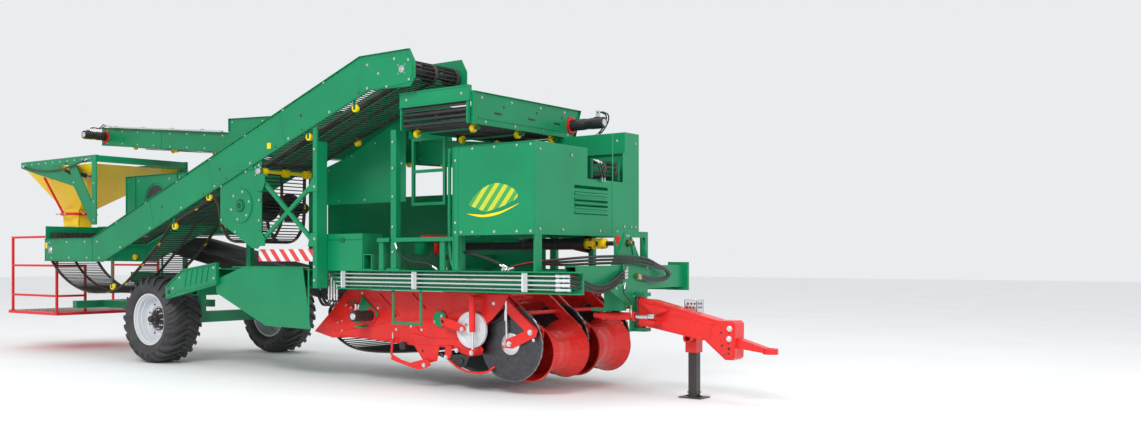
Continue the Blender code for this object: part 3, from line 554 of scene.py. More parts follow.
def make_web(name, body, nodes, path, across, pitch=0.045, closed=True, plane="xz"):
    """The rods and the belts of one web. Its path is the middle of its thickness."""
    def place(along, side, up):
        return (along, side, up) if plane == "xz" else (side, along, up)

    low, high = across
    rods = Shape()
    for point, _ in spaced(path, pitch, closed):
        rods.rod(place(point.x, low + 0.006, point.y), place(point.x, high - 0.006, point.y),
                 0.0065, sides=8)
    rods.done(name + "_rods", body, "web", replaces=nodes)
    belts = Shape()
    middle = (low + high) / 2
    for side in ((low, low + 0.045), (middle - 0.02, middle + 0.02), (high - 0.045, high)):
        belts.ribbon(path, side, 0.010, closed, plane)
    belts.done(name + "_belts", body, "belt")


def incline(x, above=0.0):
    """The height of the elevator plates' lower edge at X, plus a distance."""
    return 1.24 + 0.368 * (x + 0.79) + above


def fill_line(x, above=0.0):
    """The height of the filling conveyor plates' lower edge at X, plus a distance."""
    return 2.92 - 0.10 * (x + 2.50) + above


ELEVATOR_WEB = (-1.27, -0.53)  # its edges in Y
ELEVATOR_SKIN = -1.304  # the near plate's outer face
# The centres of the elevator's drums and idler in X and Z
TAIL = (-2.03, 1.40)
HEAD = (4.27, 3.11)
DRIVE = (1.89, 1.87)
IDLER = (2.18, 2.235)

# The web's lower run hangs in a long sag, and in a pocket under the drive drum
SAG = smooth([
    (0.56, 1.685), (0.32, 1.47), (0.07, 1.28), (-0.17, 1.11), (-0.43, 0.95), (-0.70, 0.87),
    (-1.00, 0.84), (-1.30, 0.865), (-1.60, 0.95), (-1.88, 1.09), (-2.08, 1.255),
])
POCKET = smooth([(2.10, 1.66), (1.98, 1.51), (1.80, 1.46), (1.62, 1.51), (1.50, 1.66)])
ELEVATOR_PATH = [
    *arc(TAIL, 0.08, 180, 90, 6), (-0.95, 1.48), (3.70, incline(3.70, 0.27)),
    *arc(HEAD, 0.10, 90, -90, 10), (3.85, incline(3.85, -0.06)), (3.0, 2.59), (2.32, 2.325),
    *arc(IDLER, 0.06, 110, 180, 5), (2.115, 1.80), *POCKET, (1.45, 1.88), (1.38, 1.97),
    (1.28, 1.955), (0.66, 1.725), *SAG, (-2.11, 1.38),
]

RETURN_START = 24  # the path from here on runs back under the elevator


def make_webs():
    make_web("elevator_web", "frame", ("elevator_web", "elevator_return_web"), ELEVATOR_PATH,
             ELEVATOR_WEB, 0.040)
    cleats = Shape()
    for point, along in spaced(ELEVATOR_PATH[RETURN_START:], 0.42, False):
        normal = Vector((-along.y, along.x))
        for y in (ELEVATOR_WEB[0] + 0.022, ELEVATOR_WEB[1] - 0.022):
            for step in (-0.014, 0.014):
                start = point + along * step
                tip = start + normal * 0.018
                cleats.rod((start.x, y, start.y), (tip.x, y, tip.y), 0.008, sides=6)
    cleats.done("elevator_web_cleats", "frame", "yellow")
    make_web("cross_web", "frame", ("cross_web",), loop((0.55, 2.64), (-1.08, 2.64), 0.075),
             (4.17, 4.98), plane="yz")
    make_web("sieve_web", "frame", ("sieve_web",), loop((2.44, 0.86), (-1.00, 1.50), 0.07),
             (-0.38, 0.57))
    make_web("discharge_web", "frame", ("discharge_web",),
             loop((5.66, 2.16), (5.26, 2.16), 0.075), (-0.24, 0.26))
    ends = [(x, fill_line(x, 0.12)) for x in (4.58, -2.38)]
    make_web("filling_web", "filling_conveyor", ("filling_web",), loop(*ends, 0.08),
             (-0.18, 0.53))
    belly = [(2.80, 0.56), (2.90, 0.44), (3.08, 0.35), (3.30, 0.31), (3.64, 0.31), (4.10, 0.345)]
    path = [*arc((4.42, 0.44), 0.05, -90, 80, 8), *arc((2.86, 0.70), 0.08, 80, 190, 8),
            *smooth(belly)]
    make_web("digger_web", "digger", ("digger_web",), path, (-0.82, 0.82), 0.042)


make_webs()


# --- Wheels ---------------------------------------------------------------------------------

WHEEL_R = (near_high.z - near_low.z) / 2
TRACK = span("far_tyre")[1]
TRACK_HALF = sum(TRACK) / 2
TYRE_HALF = (TRACK[1] - TRACK[0]) / 2
BEAD = 0.320  # the radius where the tyre meets the rim
LUGS = 24  # on each side of the tread


def tyre_curve(share):
    """The carcass radius at a share of the half width: a flat crown and a round shoulder."""
    return WHEEL_R - 0.030 - 0.075 * max(0.0, (share - 0.62) / 0.38) ** 1.8


def make_tyre(side_name, side):
    """A flotation tyre: curved carcass, hoops on the sidewall and V-shaped lugs."""
    centre = Vector((0, side * TRACK_HALF, WHEEL_R))
    outer = [(tyre_curve(s / 8), TYRE_HALF * 0.97 * s / 8) for s in range(9)]
    wall = [
        (0.425, TYRE_HALF * 0.995), (0.418, TYRE_HALF * 0.999), (0.411, TYRE_HALF * 0.995),
        (0.385, TYRE_HALF * 0.975), (0.378, TYRE_HALF * 0.985), (0.370, TYRE_HALF * 0.970),
        (0.345, TYRE_HALF * 0.90), (BEAD + 0.008, TYRE_HALF * 0.84), (BEAD, TYRE_HALF * 0.78),
    ]
    half = outer + wall
    profile = [(r, -y) for r, y in half[::-1]] + half[1:]
    tyre = Shape().turned(profile, centre, steps=96, closed=True)
    tyre.done(f"{side_name}_tyre_carcass", f"{side_name}_wheel", "tyre",
              replaces=(f"{side_name}_tyre",), angle=30)
    lugs = Shape()
    for number in range(LUGS * 2):
        hand = 1 if number % 2 else -1
        start = math.tau * number / (LUGS * 2)
        rings = []
        for step in range(9):
            share = step / 8
            turn = start + 0.30 * share ** 1.25
            across = hand * (-0.012 + (TYRE_HALF * 0.985 + 0.012) * share)
            base = tyre_curve(share) - 0.012
            top = WHEEL_R - 0.0005 - 0.060 * max(0.0, (share - 0.66) / 0.34) ** 1.7
            half_angle = 0.034 + 0.012 * share
            rings.append([
                centre + Vector((math.sin(turn + a) * r, across, math.cos(turn + a) * r))
                for a, r in ((-half_angle * 1.25, base), (-half_angle, top), (half_angle, top),
                             (half_angle * 1.25, base))
            ])
        lugs.rings(rings)
    lugs.done(f"{side_name}_tyre_lugs", f"{side_name}_wheel", "tyre", bevel=0.004)


def make_rim(side_name, side):
    """A stepped steel rim with a dished disc, a black hub, its studs and a valve."""
    body = f"{side_name}_wheel"
    centre = Vector((0, side * TRACK_HALF, WHEEL_R))
    axis = (0, side, 0)
    outer = [
        (0.060, 0.050), (0.150, 0.045), (0.165, 0.058), (0.215, 0.060), (0.235, 0.050),
        (0.250, 0.065), (0.262, 0.115), (0.275, 0.122), (0.283, 0.165), (0.296, 0.172),
        (0.302, 0.196), (0.318, 0.200), (BEAD - 0.001, 0.192), (BEAD - 0.001, 0.170),
        (0.308, 0.165), (0.300, 0.10), (0.300, -0.165), (BEAD - 0.001, -0.170),
        (BEAD - 0.001, -0.195), (0.305, -0.198), (0.296, -0.19), (0.290, 0.05), (0.240, 0.030),
        (0.060, 0.028),
    ]
    rim = Shape().turned(outer, centre, axis, steps=72, closed=True)
    rim.done(f"{side_name}_rim_steps", body, "white", replaces=(f"{side_name}_rim",), angle=32)
    hub = Shape()
    hub.turned([(0.001, 0.198), (0.028, 0.197), (0.038, 0.188), (0.042, 0.150), (0.060, 0.145),
                (0.066, 0.130), (0.068, 0.100), (0.092, 0.095), (0.098, 0.080), (0.140, 0.062),
                (0.142, 0.030), (0.058, 0.020), (0.056, -0.069), (0.001, -0.069)],
               centre, axis, steps=40)
    hub.done(f"{side_name}_hub", body, "black", angle=30)
    studs = Shape()
    for turn in turns(10):
        foot = centre + spoke(turn) * 0.118 + Vector((0, side * 0.060, 0))
        studs.rod(foot, foot + Vector((0, side * 0.052, 0)), 0.008, sides=10)
        studs.rod(foot, foot + Vector((0, side * 0.030, 0)), 0.015, 0.013, sides=6)
    for turn in turns(5, 0.5):
        studs.bolt(centre + spoke(turn) * 0.053 + Vector((0, side * 0.145, 0)), axis, 0.006)
    valve = centre + Vector((0.268, side * 0.118, 0))
    studs.tube([valve, valve + Vector((0.008, side * 0.030, 0)),
                valve + Vector((0.004, side * 0.055, 0))], 0.005)
    studs.done(f"{side_name}_wheel_studs", body, "zinc")
    # Dark discs on the rim's disc: painted shade inside its holes.
    holes = Shape()
    for turn in turns(8, 0.5):
        foot = centre + spoke(turn) * 0.190
        holes.rod(foot + Vector((0, side * 0.0585, 0)), foot + Vector((0, side * 0.0612, 0)), 0.014)
    holes.done(f"{side_name}_rim_holes", body, "plastic_and_hole_shade")


for wheel_name, wheel_side in (("near", -1), ("far", 1)):
    make_tyre(wheel_name, wheel_side)
    make_rim(wheel_name, wheel_side)


# --- Elevator -------------------------------------------------------------------------------


def make_elevator_trims():
    """Folded edges, seams, bolts and holes on the elevator's side plates."""
    skin = ELEVATOR_SKIN
    top = [(-2.165, 1.546), (-1.03, 1.546), (3.72, incline(3.72, 0.396)), (4.365, 3.294)]
    foot = [(-2.165, 1.254), (-0.79, 1.244), (3.85, incline(3.85, 0.004)), (4.375, 2.935)]
    head = [(4.365, 3.294), (4.436, 3.168), (4.436, 3.012), (4.375, 2.935)]
    folds = Shape()
    folds.ribbon(top, (-1.323, skin + 0.002), 0.005)
    folds.ribbon(foot, (-1.317, skin + 0.002), 0.005)
    folds.ribbon(head, (-1.315, skin + 0.002), 0.005)
    folds.ribbon(top, (-0.496, -0.482), 0.005)
    for x, low, high in ((-2.163, 1.256, 1.545), (-1.03, 1.25, 1.545)):
        folds.box((x, x + 0.006), (skin - 0.004, skin), (low, high))
    for x in (0.30, 1.42, 2.62, 3.72):
        folds.prism([(x, incline(x)), (x + 0.006, incline(x)), (x - 0.10, incline(x, 0.36)),
                     (x - 0.106, incline(x, 0.36))], (skin - 0.003, skin))
    folds.prism([(3.74, incline(3.74, 0.03)), (4.35, 2.97), (4.41, 3.04), (4.41, 3.14),
                 (4.34, 3.25), (3.74, incline(3.74, 0.34))], (skin - 0.006, skin))
    folds.done("elevator_plate_folds", "frame", "green", bevel=0.0015)
    bolts = Shape()
    # Dark discs on the plate: painted shade inside its holes.
    holes = Shape()
    for number in range(22):
        x = -0.60 + 0.205 * number
        for above in (0.040, 0.352):
            place = (x - above * 0.28, skin, incline(x, above))
            if number % 3 == 1:
                bolts.bolt(place, NEAR, 0.010)
            elif (number + (above > 0.1)) % 2:
                holes.rod(place, (place[0], skin - 0.0008, place[2]), 0.011, sides=14)
    for x in (-2.05, -1.62, -1.20, -0.92):
        bolts.bolt((x, skin, 1.50), NEAR, 0.010)
        bolts.bolt((x + 0.05, skin, 1.295), NEAR, 0.010)
        holes.rod((x + 0.16, skin, 1.50), (x + 0.16, skin - 0.0008, 1.50), 0.010, sides=14)
    bolts.near_bolts(skin - 0.006, 0.010, (
        (3.82, 2.97), (3.82, 3.20), (4.08, 2.96), (4.18, 3.22), (4.36, 3.19), (4.37, 3.00),
        (3.97, 3.10)))
    bolts.done("elevator_plate_bolts", "frame", "zinc")
    holes.near_holes(skin, 0.016, (
        (1.53, incline(1.53, 0.20)), (2.86, incline(2.86, 0.20)), (0.45, 1.90)), 16)
    holes.done("elevator_plate_holes", "frame", "plastic_and_hole_shade")
    bearings = Shape()
    for x, z in (TAIL, HEAD, IDLER):
        bearings.turned([(0.001, 0.017), (0.016, 0.017), (0.020, 0.010), (0.034, 0.008),
                         (0.040, 0.0), (0.001, 0.0)], (x, skin, z), (0, -1, 0), 20)
        for turn in turns(4):
            bearings.bolt(Vector((x, skin, z)) + spoke(turn + 0.78) * 0.058, NEAR, 0.008)
    bearings.done("elevator_bearings", "frame", "steel")
    marker = Shape().box((-2.155, -2.105), (skin - 0.0015, skin), (1.42, 1.50))
    marker.box((2.33, 2.39), (skin - 0.0015, skin), (2.47, 2.53))
    marker.done("elevator_markers", "frame", "yellow")
    pad = Shape()
    for number in range(9):
        y = -1.24 + 0.080 * number
        pad.prism([(-2.135, 1.64), (-2.125, 1.64), (-2.05, 1.52), (-2.06, 1.51)], (y, y + 0.072))
    pad.done("elevator_tail_curtain", "frame", "plastic_and_hole_shade")


def make_elevator_rollers():
    """The carrier rollers under the elevator's plates and their brackets."""
    rollers = Shape()
    brackets = Shape()
    places = ((1.30, 1.985), (0.66, 1.665), (2.95, 2.555), (3.62, 2.795), (-0.62, 0.93),
              (-1.20, 1.30))
    for x, z in places:
        for y in (-1.282, -0.518):
            inward = 1 if y < -1 else -1
            rollers.idle_roller((x, y - inward * 0.005, z), (0, inward, 0), 0.040, 0.042, 20)
            rise = max(0.03, incline(x, 0.03) - z) if x > -0.7 else 0.03
            brackets.box((x - 0.018, x + 0.018), (y - 0.006, y), (z - 0.02, z + rise))
    rollers.done("elevator_carrier_rollers", "frame", "yellow")
    # The brackets under the plates take the darkened green: painted shade.
    brackets.done("elevator_roller_brackets", "frame", "green_painted_shade", bevel=0.002)


def make_hub():
    """The drive hub on the elevator's side: bolts, cap, brackets and the motor behind it."""
    x, z = DRIVE
    skin = -1.3257
    bolts = Shape()
    for turn in turns(6):
        bolts.bolt(Vector((x, -1.3105, z)) + spoke(turn + 0.26) * 0.155, NEAR, 0.011)
    bolts.near_bolts(-1.3035, 0.010, (
        (1.56, 2.10), (1.56, 1.72), (1.80, 1.58), (2.20, 1.50), (2.20, 2.30), (1.98, 2.24),
        (2.20, 1.92), (2.20, 1.70)))
    bolts.near_bolts(ELEVATOR_SKIN + 0.002, 0.011, (
        (3.06, 2.03), (3.06, 1.49), (3.06, 2.42), (3.06, 1.06), (3.06, 1.20)))
    bolts.done("hub_bolts", "frame", "zinc")
    cap = Shape()
    cap.turned([(0.001, 0.0), (0.036, 0.0), (0.042, -0.006), (0.058, -0.009), (0.072, -0.010),
                (0.072, -0.018), (0.001, -0.018)], (x, skin, z), (0, -1, 0), 28)
    for turn in turns(8):
        cap.bolt(Vector((x, skin + 0.0105, z)) + spoke(turn) * 0.063, NEAR, 0.006)
    # The cap takes the darkened green: painted shade.
    cap.done("hub_cap", "frame", "green_painted_shade")
    brackets = Shape()
    brackets.prism([(2.17, 1.42), (2.30, 1.42), (2.30, 1.50), (2.24, 1.58), (2.17, 1.58)],
                   (-1.316, -1.304))
    brackets.prism([(2.17, 2.02), (2.26, 2.02), (2.30, 2.10), (2.30, 2.20), (2.17, 2.20)],
                   (-1.316, -1.304))
    brackets.prism([(2.96, 1.98), (3.10, 1.98), (3.10, 2.12), (3.02, 2.12)], (-1.304, -1.298))
    brackets.prism([(2.96, 1.41), (3.10, 1.41), (3.10, 1.55), (3.00, 1.55)], (-1.304, -1.298))
    brackets.box((1.70, 2.10), (-1.308, -1.304), (2.26, 2.30))
    brackets.done("hub_brackets", "frame", "green", bevel=0.002)
    motor = Shape()
    motor.turned([(0.001, 0.0), (0.060, 0.0), (0.066, 0.008), (0.066, 0.11), (0.058, 0.12),
                  (0.058, 0.17), (0.001, 0.17)], (x, -0.490, z), (0, 1, 0), 24)
    motor.done("elevator_drive_motor", "frame", "black")


make_elevator_trims()
make_elevator_rollers()
make_hub()


# --- Conveyors ------------------------------------------------------------------------------


def make_motor(name, body, start, end, radius=0.060):
    """A hydraulic motor: red mount, black body, its ports and a bright end face."""
    start, end = Vector(start), Vector(end)
    axis = (end - start).normalized()
    length = (end - start).length
    mount = Shape()
    mount.turned([(0.001, 0.0), (radius * 1.5, 0.0), (radius * 1.5, 0.014), (0.001, 0.014)],
                 start, axis, 20)
    side = axis.orthogonal().normalized()
    other = axis.cross(side)
    for turn in turns(4, 0.5):
        mount.bolt(start + axis * 0.014 + (side * math.cos(turn) + other * math.sin(turn))
                   * radius * 1.28, axis, 0.008)
    mount.done(name + "_mount", body, "red")
    case = Shape()
    case.turned([(0.001, 0.014), (radius, 0.014), (radius, length * 0.42),
                 (radius * 0.94, length * 0.44), (radius * 0.94, length * 0.60),
                 (radius, length * 0.62), (radius, length - 0.022), (radius * 0.95, length - 0.004),
                 (0.001, length - 0.004)], start, axis, 28)
    case.box(*[(c - 0.03, c + 0.03) for c in (start + axis * length * 0.8 + UP * 0.032)])
    case.done(name + "_case", body, "black", angle=30)
    face = Shape()
    face.turned([(0.001, length - 0.004), (radius * 0.62, length - 0.004),
                 (radius * 0.58, length), (0.001, length)], start, axis, 24)
    port = start + axis * length * 0.8 + UP * 0.06
    for step in (-0.014, 0.014):
        foot = port + axis * step
        face.rod(foot, foot + UP * 0.022, 0.010, sides=6)
    face.done(name + "_face", body, "zinc")


def make_filling_trims():
    """Folded edges, pipes, bolts, rollers, their axles and the motor on the filling conveyor."""
    body = "filling_conveyor"
    skin = -0.204
    folds = Shape()
    top = [(x, fill_line(x, 0.258)) for x in (-2.49, 0.36)]
    folds.ribbon(top, (-0.235, skin + 0.001), 0.004)
    folds.ribbon([(-2.49, fill_line(-2.49, 0.003)), (4.69, fill_line(4.69, 0.003))],
                 (-0.225, skin + 0.001), 0.004)
    folds.ribbon([(0.362, 3.066), (3.10, 2.947), (3.398, 2.848)], (-0.225, skin + 0.001), 0.004)
    folds.ribbon([(0.363, 2.90), (0.363, 3.064)], (-0.225, skin + 0.001), 0.004)
    folds.ribbon([(3.42, fill_line(3.42, 0.258)), (4.69, fill_line(4.69, 0.258))],
                 (-0.225, skin + 0.001), 0.004)
    for x in (-2.47, -1.10, 0.90, 2.05, 3.20, 4.67):
        folds.box((x, x + 0.022), (skin - 0.004, skin), (fill_line(x, 0.005), fill_line(x, 0.252)))
    folds.ribbon([(-2.49, fill_line(-2.49, 0.258)), (0.36, fill_line(0.36, 0.258))],
                 (0.553, 0.582), 0.004)
    folds.done("filling_conveyor_folds", body, "green", bevel=0.001)
    pipes = Shape()
    for side, above in ((-0.226, 0.272), (-0.252, 0.262)):
        pipes.tube([(-2.30, side, fill_line(-2.30, above + 0.02)),
                    (-2.20, side, fill_line(-2.20, above)), (0.26, side, fill_line(0.26, above))],
                   0.008)
    for x in (-2.10, -1.45, -0.80, -0.15):
        pipes.box((x - 0.014, x + 0.014), (-0.268, -0.206), (fill_line(x, 0.258), fill_line(x, 0.29)))
    pipes.done("filling_conveyor_pipes", body, "zinc")
    bolts = Shape()
    for number in range(19):
        x = -2.36 + 0.37 * number
        bolts.bolt((x, skin, fill_line(x, 0.040)), NEAR, 0.009)
        if number < 8 or number > 15:
            bolts.bolt((x, skin, fill_line(x, 0.215)), NEAR, 0.009)
        bolts.bolt((x, 0.554, fill_line(x, 0.050)), (0, 1, 0), 0.009)
    bolts.near_bolts(skin, 0.009, (
        (0.42, 3.02), (1.0, 2.99), (1.7, 2.96), (2.4, 2.93), (3.1, 2.90)))
    bolts.done("filling_conveyor_bolts", body, "zinc")
    rollers = Shape()
    hangers = Shape()
    for x in (-1.75, -0.80, 0.15, 1.75, 2.80, 3.85):
        z = fill_line(x, 0.005)
        for y in (-0.165, 0.475):
            rollers.idle_roller((x, y, z), (0, 1, 0), 0.037, 0.040, 18)
        hangers.rod((x, -0.190, z), (x, 0.540, z), 0.008, sides=8)
    rollers.done("filling_conveyor_rollers", body, "yellow")
    hangers.done("filling_conveyor_axles", body, "steel")
    z = fill_line(-2.40, 0.13)
    make_motor("filling_motor", body, (-2.40, -0.205, z), (-2.40, -0.570, z))


def make_cross_trims():
    """The cross conveyor's folds, end bars, cheeks, bolts, slots, rollers and motor."""
    x = 5.004
    folds = Shape()
    for z in (2.543, 2.847):
        end = 0.60 if z < 2.6 else 0.718
        folds.box((x - 0.002, x + 0.022), (-1.148, end), (z - 0.003, z + 0.003))
    folds.box((x - 0.002, x + 0.020), (-1.148, -1.140), (2.545, 2.845))
    folds.prism([(0.600, 2.543), (0.606, 2.543), (0.720, 2.847), (0.714, 2.847)],
                (x - 0.002, x + 0.020), "yz")
    folds.box((x, x + 0.006), (-1.05, 0.48), (2.60, 2.615))
    folds.done("cross_conveyor_folds", "frame", "green", bevel=0.001)
    bars = Shape()
    for number in range(4):
        z = 2.575 + 0.052 * number
        bars.rod((4.18, -1.172, z), (4.97, -1.172, z), 0.015, sides=10)
    bars.done("cross_conveyor_bars", "frame", "web")
    cheeks = Shape()
    for at in (4.152, 4.972):
        cheeks.box((at, at + 0.016), (-1.195, -1.150), (2.545, 2.75))
    cheeks.box((4.15, 4.99), (-1.206, -1.200), (2.752, 2.765))
    cheeks.box((4.15, 4.99), (-1.206, -1.200), (2.885, 2.898))
    cheeks.done("cross_conveyor_cheeks", "frame", "green", bevel=0.001)
    marks = Shape()
    for y in (-1.00, -0.52, -0.02, 0.42):
        marks.bolt((x, y, 2.80), (1, 0, 0), 0.010)
        marks.bolt((x, y + 0.06, 2.575), (1, 0, 0), 0.009)
    for at in (4.24, 4.92):
        marks.bolt((at, -1.2005, 2.825), NEAR, 0.009)
    marks.done("cross_conveyor_bolts", "frame", "zinc")
    # Dark strips on the face: painted shade inside the slots.
    slots = Shape()
    for y in (-0.80, -0.24, 0.22):
        slots.box((x - 0.001, x + 0.0012), (y, y + 0.12), (2.662, 2.682))
        slots.box((x - 0.001, x + 0.0012), (y + 0.14, y + 0.165), (2.73, 2.755))
    slots.done("cross_conveyor_slots", "frame", "plastic_and_hole_shade")
    rollers = Shape()
    for y in (-1.02, -0.30, 0.30):
        for start in (4.20, 4.90):
            rollers.idle_roller((start, y, 2.515), (1, 0, 0), 0.040, 0.042, 18)
    rollers.done("cross_conveyor_rollers", "frame", "yellow")
    shafts = Shape()
    for y in (-1.02, -0.30, 0.30):
        shafts.rod((4.16, y, 2.515), (4.99, y, 2.515), 0.010, sides=8)
        for at in (4.160, 4.982):
            shafts.box((at, at + 0.008), (y - 0.02, y + 0.02), (2.50, 2.56))
    # The shafts under the conveyor take the darkened green: painted shade.
    shafts.done("cross_conveyor_roller_shafts", "frame", "green_painted_shade")
    make_motor("cross_motor", "frame", (5.005, 0.55, 2.68), (5.410, 0.55, 2.68))


# --- Hopper, its spout and the big-bag ring ---------------------------------------------------


def make_hopper_trims():
    """The hopper's folds and bolts, straps, spout flaps, bag clamps and its cylinder."""
    (x0, x1), (y0, y1), (_, top) = span("hopper_frame")
    folds = Shape()
    folds.ribbon([(x0 + 0.002, top - 0.002), (x1 - 0.002, top - 0.002)], (y0, y0 + 0.045), 0.004)
    folds.ribbon([(x0 + 0.002, top - 0.002), (x1 - 0.002, top - 0.002)], (y1 - 0.045, y1), 0.004)
    folds.ribbon([(x0 + 0.01, top - 0.085), (-2.95, 2.472), (-2.10, 2.283), (x1 - 0.11, 1.75)],
                 (y0, y0 + 0.035), 0.006)
    folds.done("hopper_folds", "frame", "green", bevel=0.001)
    bolts = Shape()
    for number in range(10):
        x = x0 + 0.12 + number * 0.185
        bolts.bolt((x, y0, top - 0.045), NEAR, 0.010)
        bolts.bolt((x, y1, top - 0.045), (0, 1, 0), 0.010)
    bolts.near_bolts(y0, 0.010, (
        (x1 - 0.05, 1.80), (x1 - 0.05, 2.05), (x1 - 0.05, 2.30), (-2.10, 2.33)))
    bolts.done("hopper_bolts", "frame", "zinc")
    spout_x, spout_y = -2.95, -0.30
    straps = Shape()
    for y in (-0.78, -0.42, 0.10):
        straps.tube([(-3.36, y, 2.53), (-3.30, y, 2.49), (-2.4, y * 0.9, 2.40)], 0.010, 6)
    for at in (spout_x - 0.185, spout_x + 0.185):
        straps.box((at - 0.012, at + 0.012), (spout_y - 0.122, spout_y - 0.112), (1.99, 2.12))
    straps.done("funnel_straps", "frame", "plastic_and_hole_shade")
    chute = Shape()
    for low, high, shift in ((1.72, 1.96, 0.0), (1.76, 2.02, 0.035)):
        grow = 0.012 + shift * 0.25
        chute.rings([
            [(spout_x + sx * (0.175 + grow + lift * 0.02), spout_y - 0.118 - shift * 0.4, z)
             for sx in (-1, 1)] + [(spout_x + sx * (0.165 + grow), spout_y - 0.112 - shift * 0.3, z)
                                   for sx in (1, -1)]
            for z, lift in ((low, 0), (high, 1))
        ])
    chute.ribbon([(spout_x - 0.19, 1.985), (spout_x + 0.19, 1.985)],
                 (spout_y - 0.128, spout_y + 0.128), 0.006)
    chute.done("spout_flaps", "frame", "yellow", bevel=0.001)
    clamps = Shape()
    for turn in turns(8, 0.5):
        centre = Vector((spout_x + 0.25 * math.cos(turn), spout_y + 0.25 * math.sin(turn), 1.948))
        clamps.bolt(centre, UP, 0.009)
    for angle in (200, 245, 290, 340):
        turn = math.radians(angle)
        foot = Vector((spout_x + 0.25 * math.cos(turn), spout_y + 0.25 * math.sin(turn), 1.93))
        out = Vector((math.cos(turn), math.sin(turn), 0))
        clamps.rod(foot + out * 0.016, foot + out * 0.060, 0.006, sides=8)
        clamps.ball(foot + out * 0.066, 0.012)
    clamps.done("bag_ring_clamps", "frame", "zinc")
    cylinder = Shape()
    cylinder.rod((-2.30, y0, 2.60), (-2.30, y0 - 0.001, 2.60), 0.02)
    cylinder.tube([(-2.42, -0.84, 2.50), (-1.92, -0.84, 2.42)], 0.030, 16)
    cylinder.tube([(-1.92, -0.84, 2.42), (-1.74, -0.84, 2.391)], 0.012, 12)
    cylinder.done("hopper_cylinder", "frame", "black")


def make_housing_trims():
    """The sorting housing: opening, window, knobs, ribs and the dome over its drive."""
    (x0, x1), (y0, y1), (z0, z1) = span("rear_housing")
    skin = y0
    # Dark sheets in the arch opening and the window: painted shade inside them.
    dark = Shape()
    arch = [(-1.02, 1.86), (-0.62, 1.86), (-0.62, 2.06),
            *arc((-0.82, 2.06), 0.20, 0, 180, 10)[1:]]
    dark.prism(arch, (skin - 0.003, skin + 0.001))
    for x, low in ((0.201, 1.95), (0.204, 1.953)):
        dark.box((x - 0.003, x), (-0.28, 0.30), (low, 2.20))
    dark.done("housing_openings", "frame", "plastic_and_hole_shade")
    ribs = Shape()
    rim = [(-1.05, 1.83), (-0.59, 1.83), (-0.59, 2.06), *arc((-0.82, 2.06), 0.23, 0, 180, 12)[1:]]
    ribs.ribbon(rim, (skin - 0.010, skin), 0.012, closed=True)
    for x in (x0 + 0.01, -1.28, -0.36, -0.12, x1 - 0.022):
        ribs.box((x, x + 0.012), (skin - 0.012, skin), (z0 + 0.01, z1 - 0.01))
    ribs.ribbon([(x0, z1 - 0.003), (x1, z1 - 0.003)], (skin - 0.022, skin), 0.005)
    ribs.ribbon([(x0, z1 - 0.003), (x1, z1 - 0.003)], (y1, y1 + 0.022), 0.005)
    ribs.prism([(x1 - 0.16, z1 - 0.01), (x1 - 0.01, z1 - 0.16), (x1 - 0.01, z1 - 0.14),
                (x1 - 0.14, z1 - 0.01)], (skin - 0.008, skin))
    ribs.done("housing_ribs", "frame", "green", bevel=0.001)
    knobs = Shape()
    for x in (-0.46, -0.24):
        knobs.turned([(0.001, 0.0), (0.030, 0.0), (0.032, 0.012), (0.024, 0.030), (0.001, 0.034)],
                     (x, skin, 2.20), (0, -1, 0), 18)
    knobs.box((-1.42, -1.30), (skin - 0.05, skin), (1.70, 1.86))
    knobs.done("housing_knobs", "frame", "red", bevel=0.001)
    dome = Shape()
    dome.turned([(0.001, 0.075), (0.05, 0.070), (0.09, 0.052), (0.115, 0.022), (0.120, 0.0),
                 (0.001, 0.0)], (-0.20, skin, 1.80), (0, -1, 0), 28)
    dome.done("housing_dome", "frame", "green")
    bolts = Shape()
    for x in (-1.44, -1.20, -0.52, -0.30, 0.10):
        for z in (1.66, 2.33):
            bolts.bolt((x, skin, z), NEAR, 0.009)
            bolts.bolt((x, y1, z), (0, 1, 0), 0.009)
    bolts.done("housing_bolts", "frame", "zinc")


# --- Bag platform, deck, gate and covers ------------------------------------------------------


def make_platform_trims():
    """Treads, post caps and bolts on the bag platform."""
    (x0, x1), (y0, y1), _ = span("bag_platform")
    slats = Shape()
    for number in range(9):
        x = x0 + 0.10 + number * (x1 - x0 - 0.20) / 8
        slats.box((x - 0.012, x + 0.012), (y0 + 0.06, y1 - 0.06), (0.541, 0.546))
    slats.done("platform_treads", "bag_platform", "steel", bevel=0.001)
    caps = Shape()
    for x in (x0 + 0.03, x1 - 0.08):
        for y in (y0 + 0.03, y1 - 0.06):
            caps.box((x - 0.001, x + 0.031), (y - 0.001, y + 0.031), (1.585, 1.602))
            caps.box((x - 0.015, x + 0.045), (y - 0.010, y + 0.040), (0.540, 0.548))
    caps.done("platform_post_caps", "bag_platform", "red_worn", bevel=0.002)
    bolts = Shape()
    for x in (x0 + 0.02, x1 - 0.09):
        for y in (y0 + 0.045, y1 - 0.045):
            bolts.bolt((x, y, 0.548), UP, 0.007)
    bolts.done("platform_bolts", "bag_platform", "zinc")


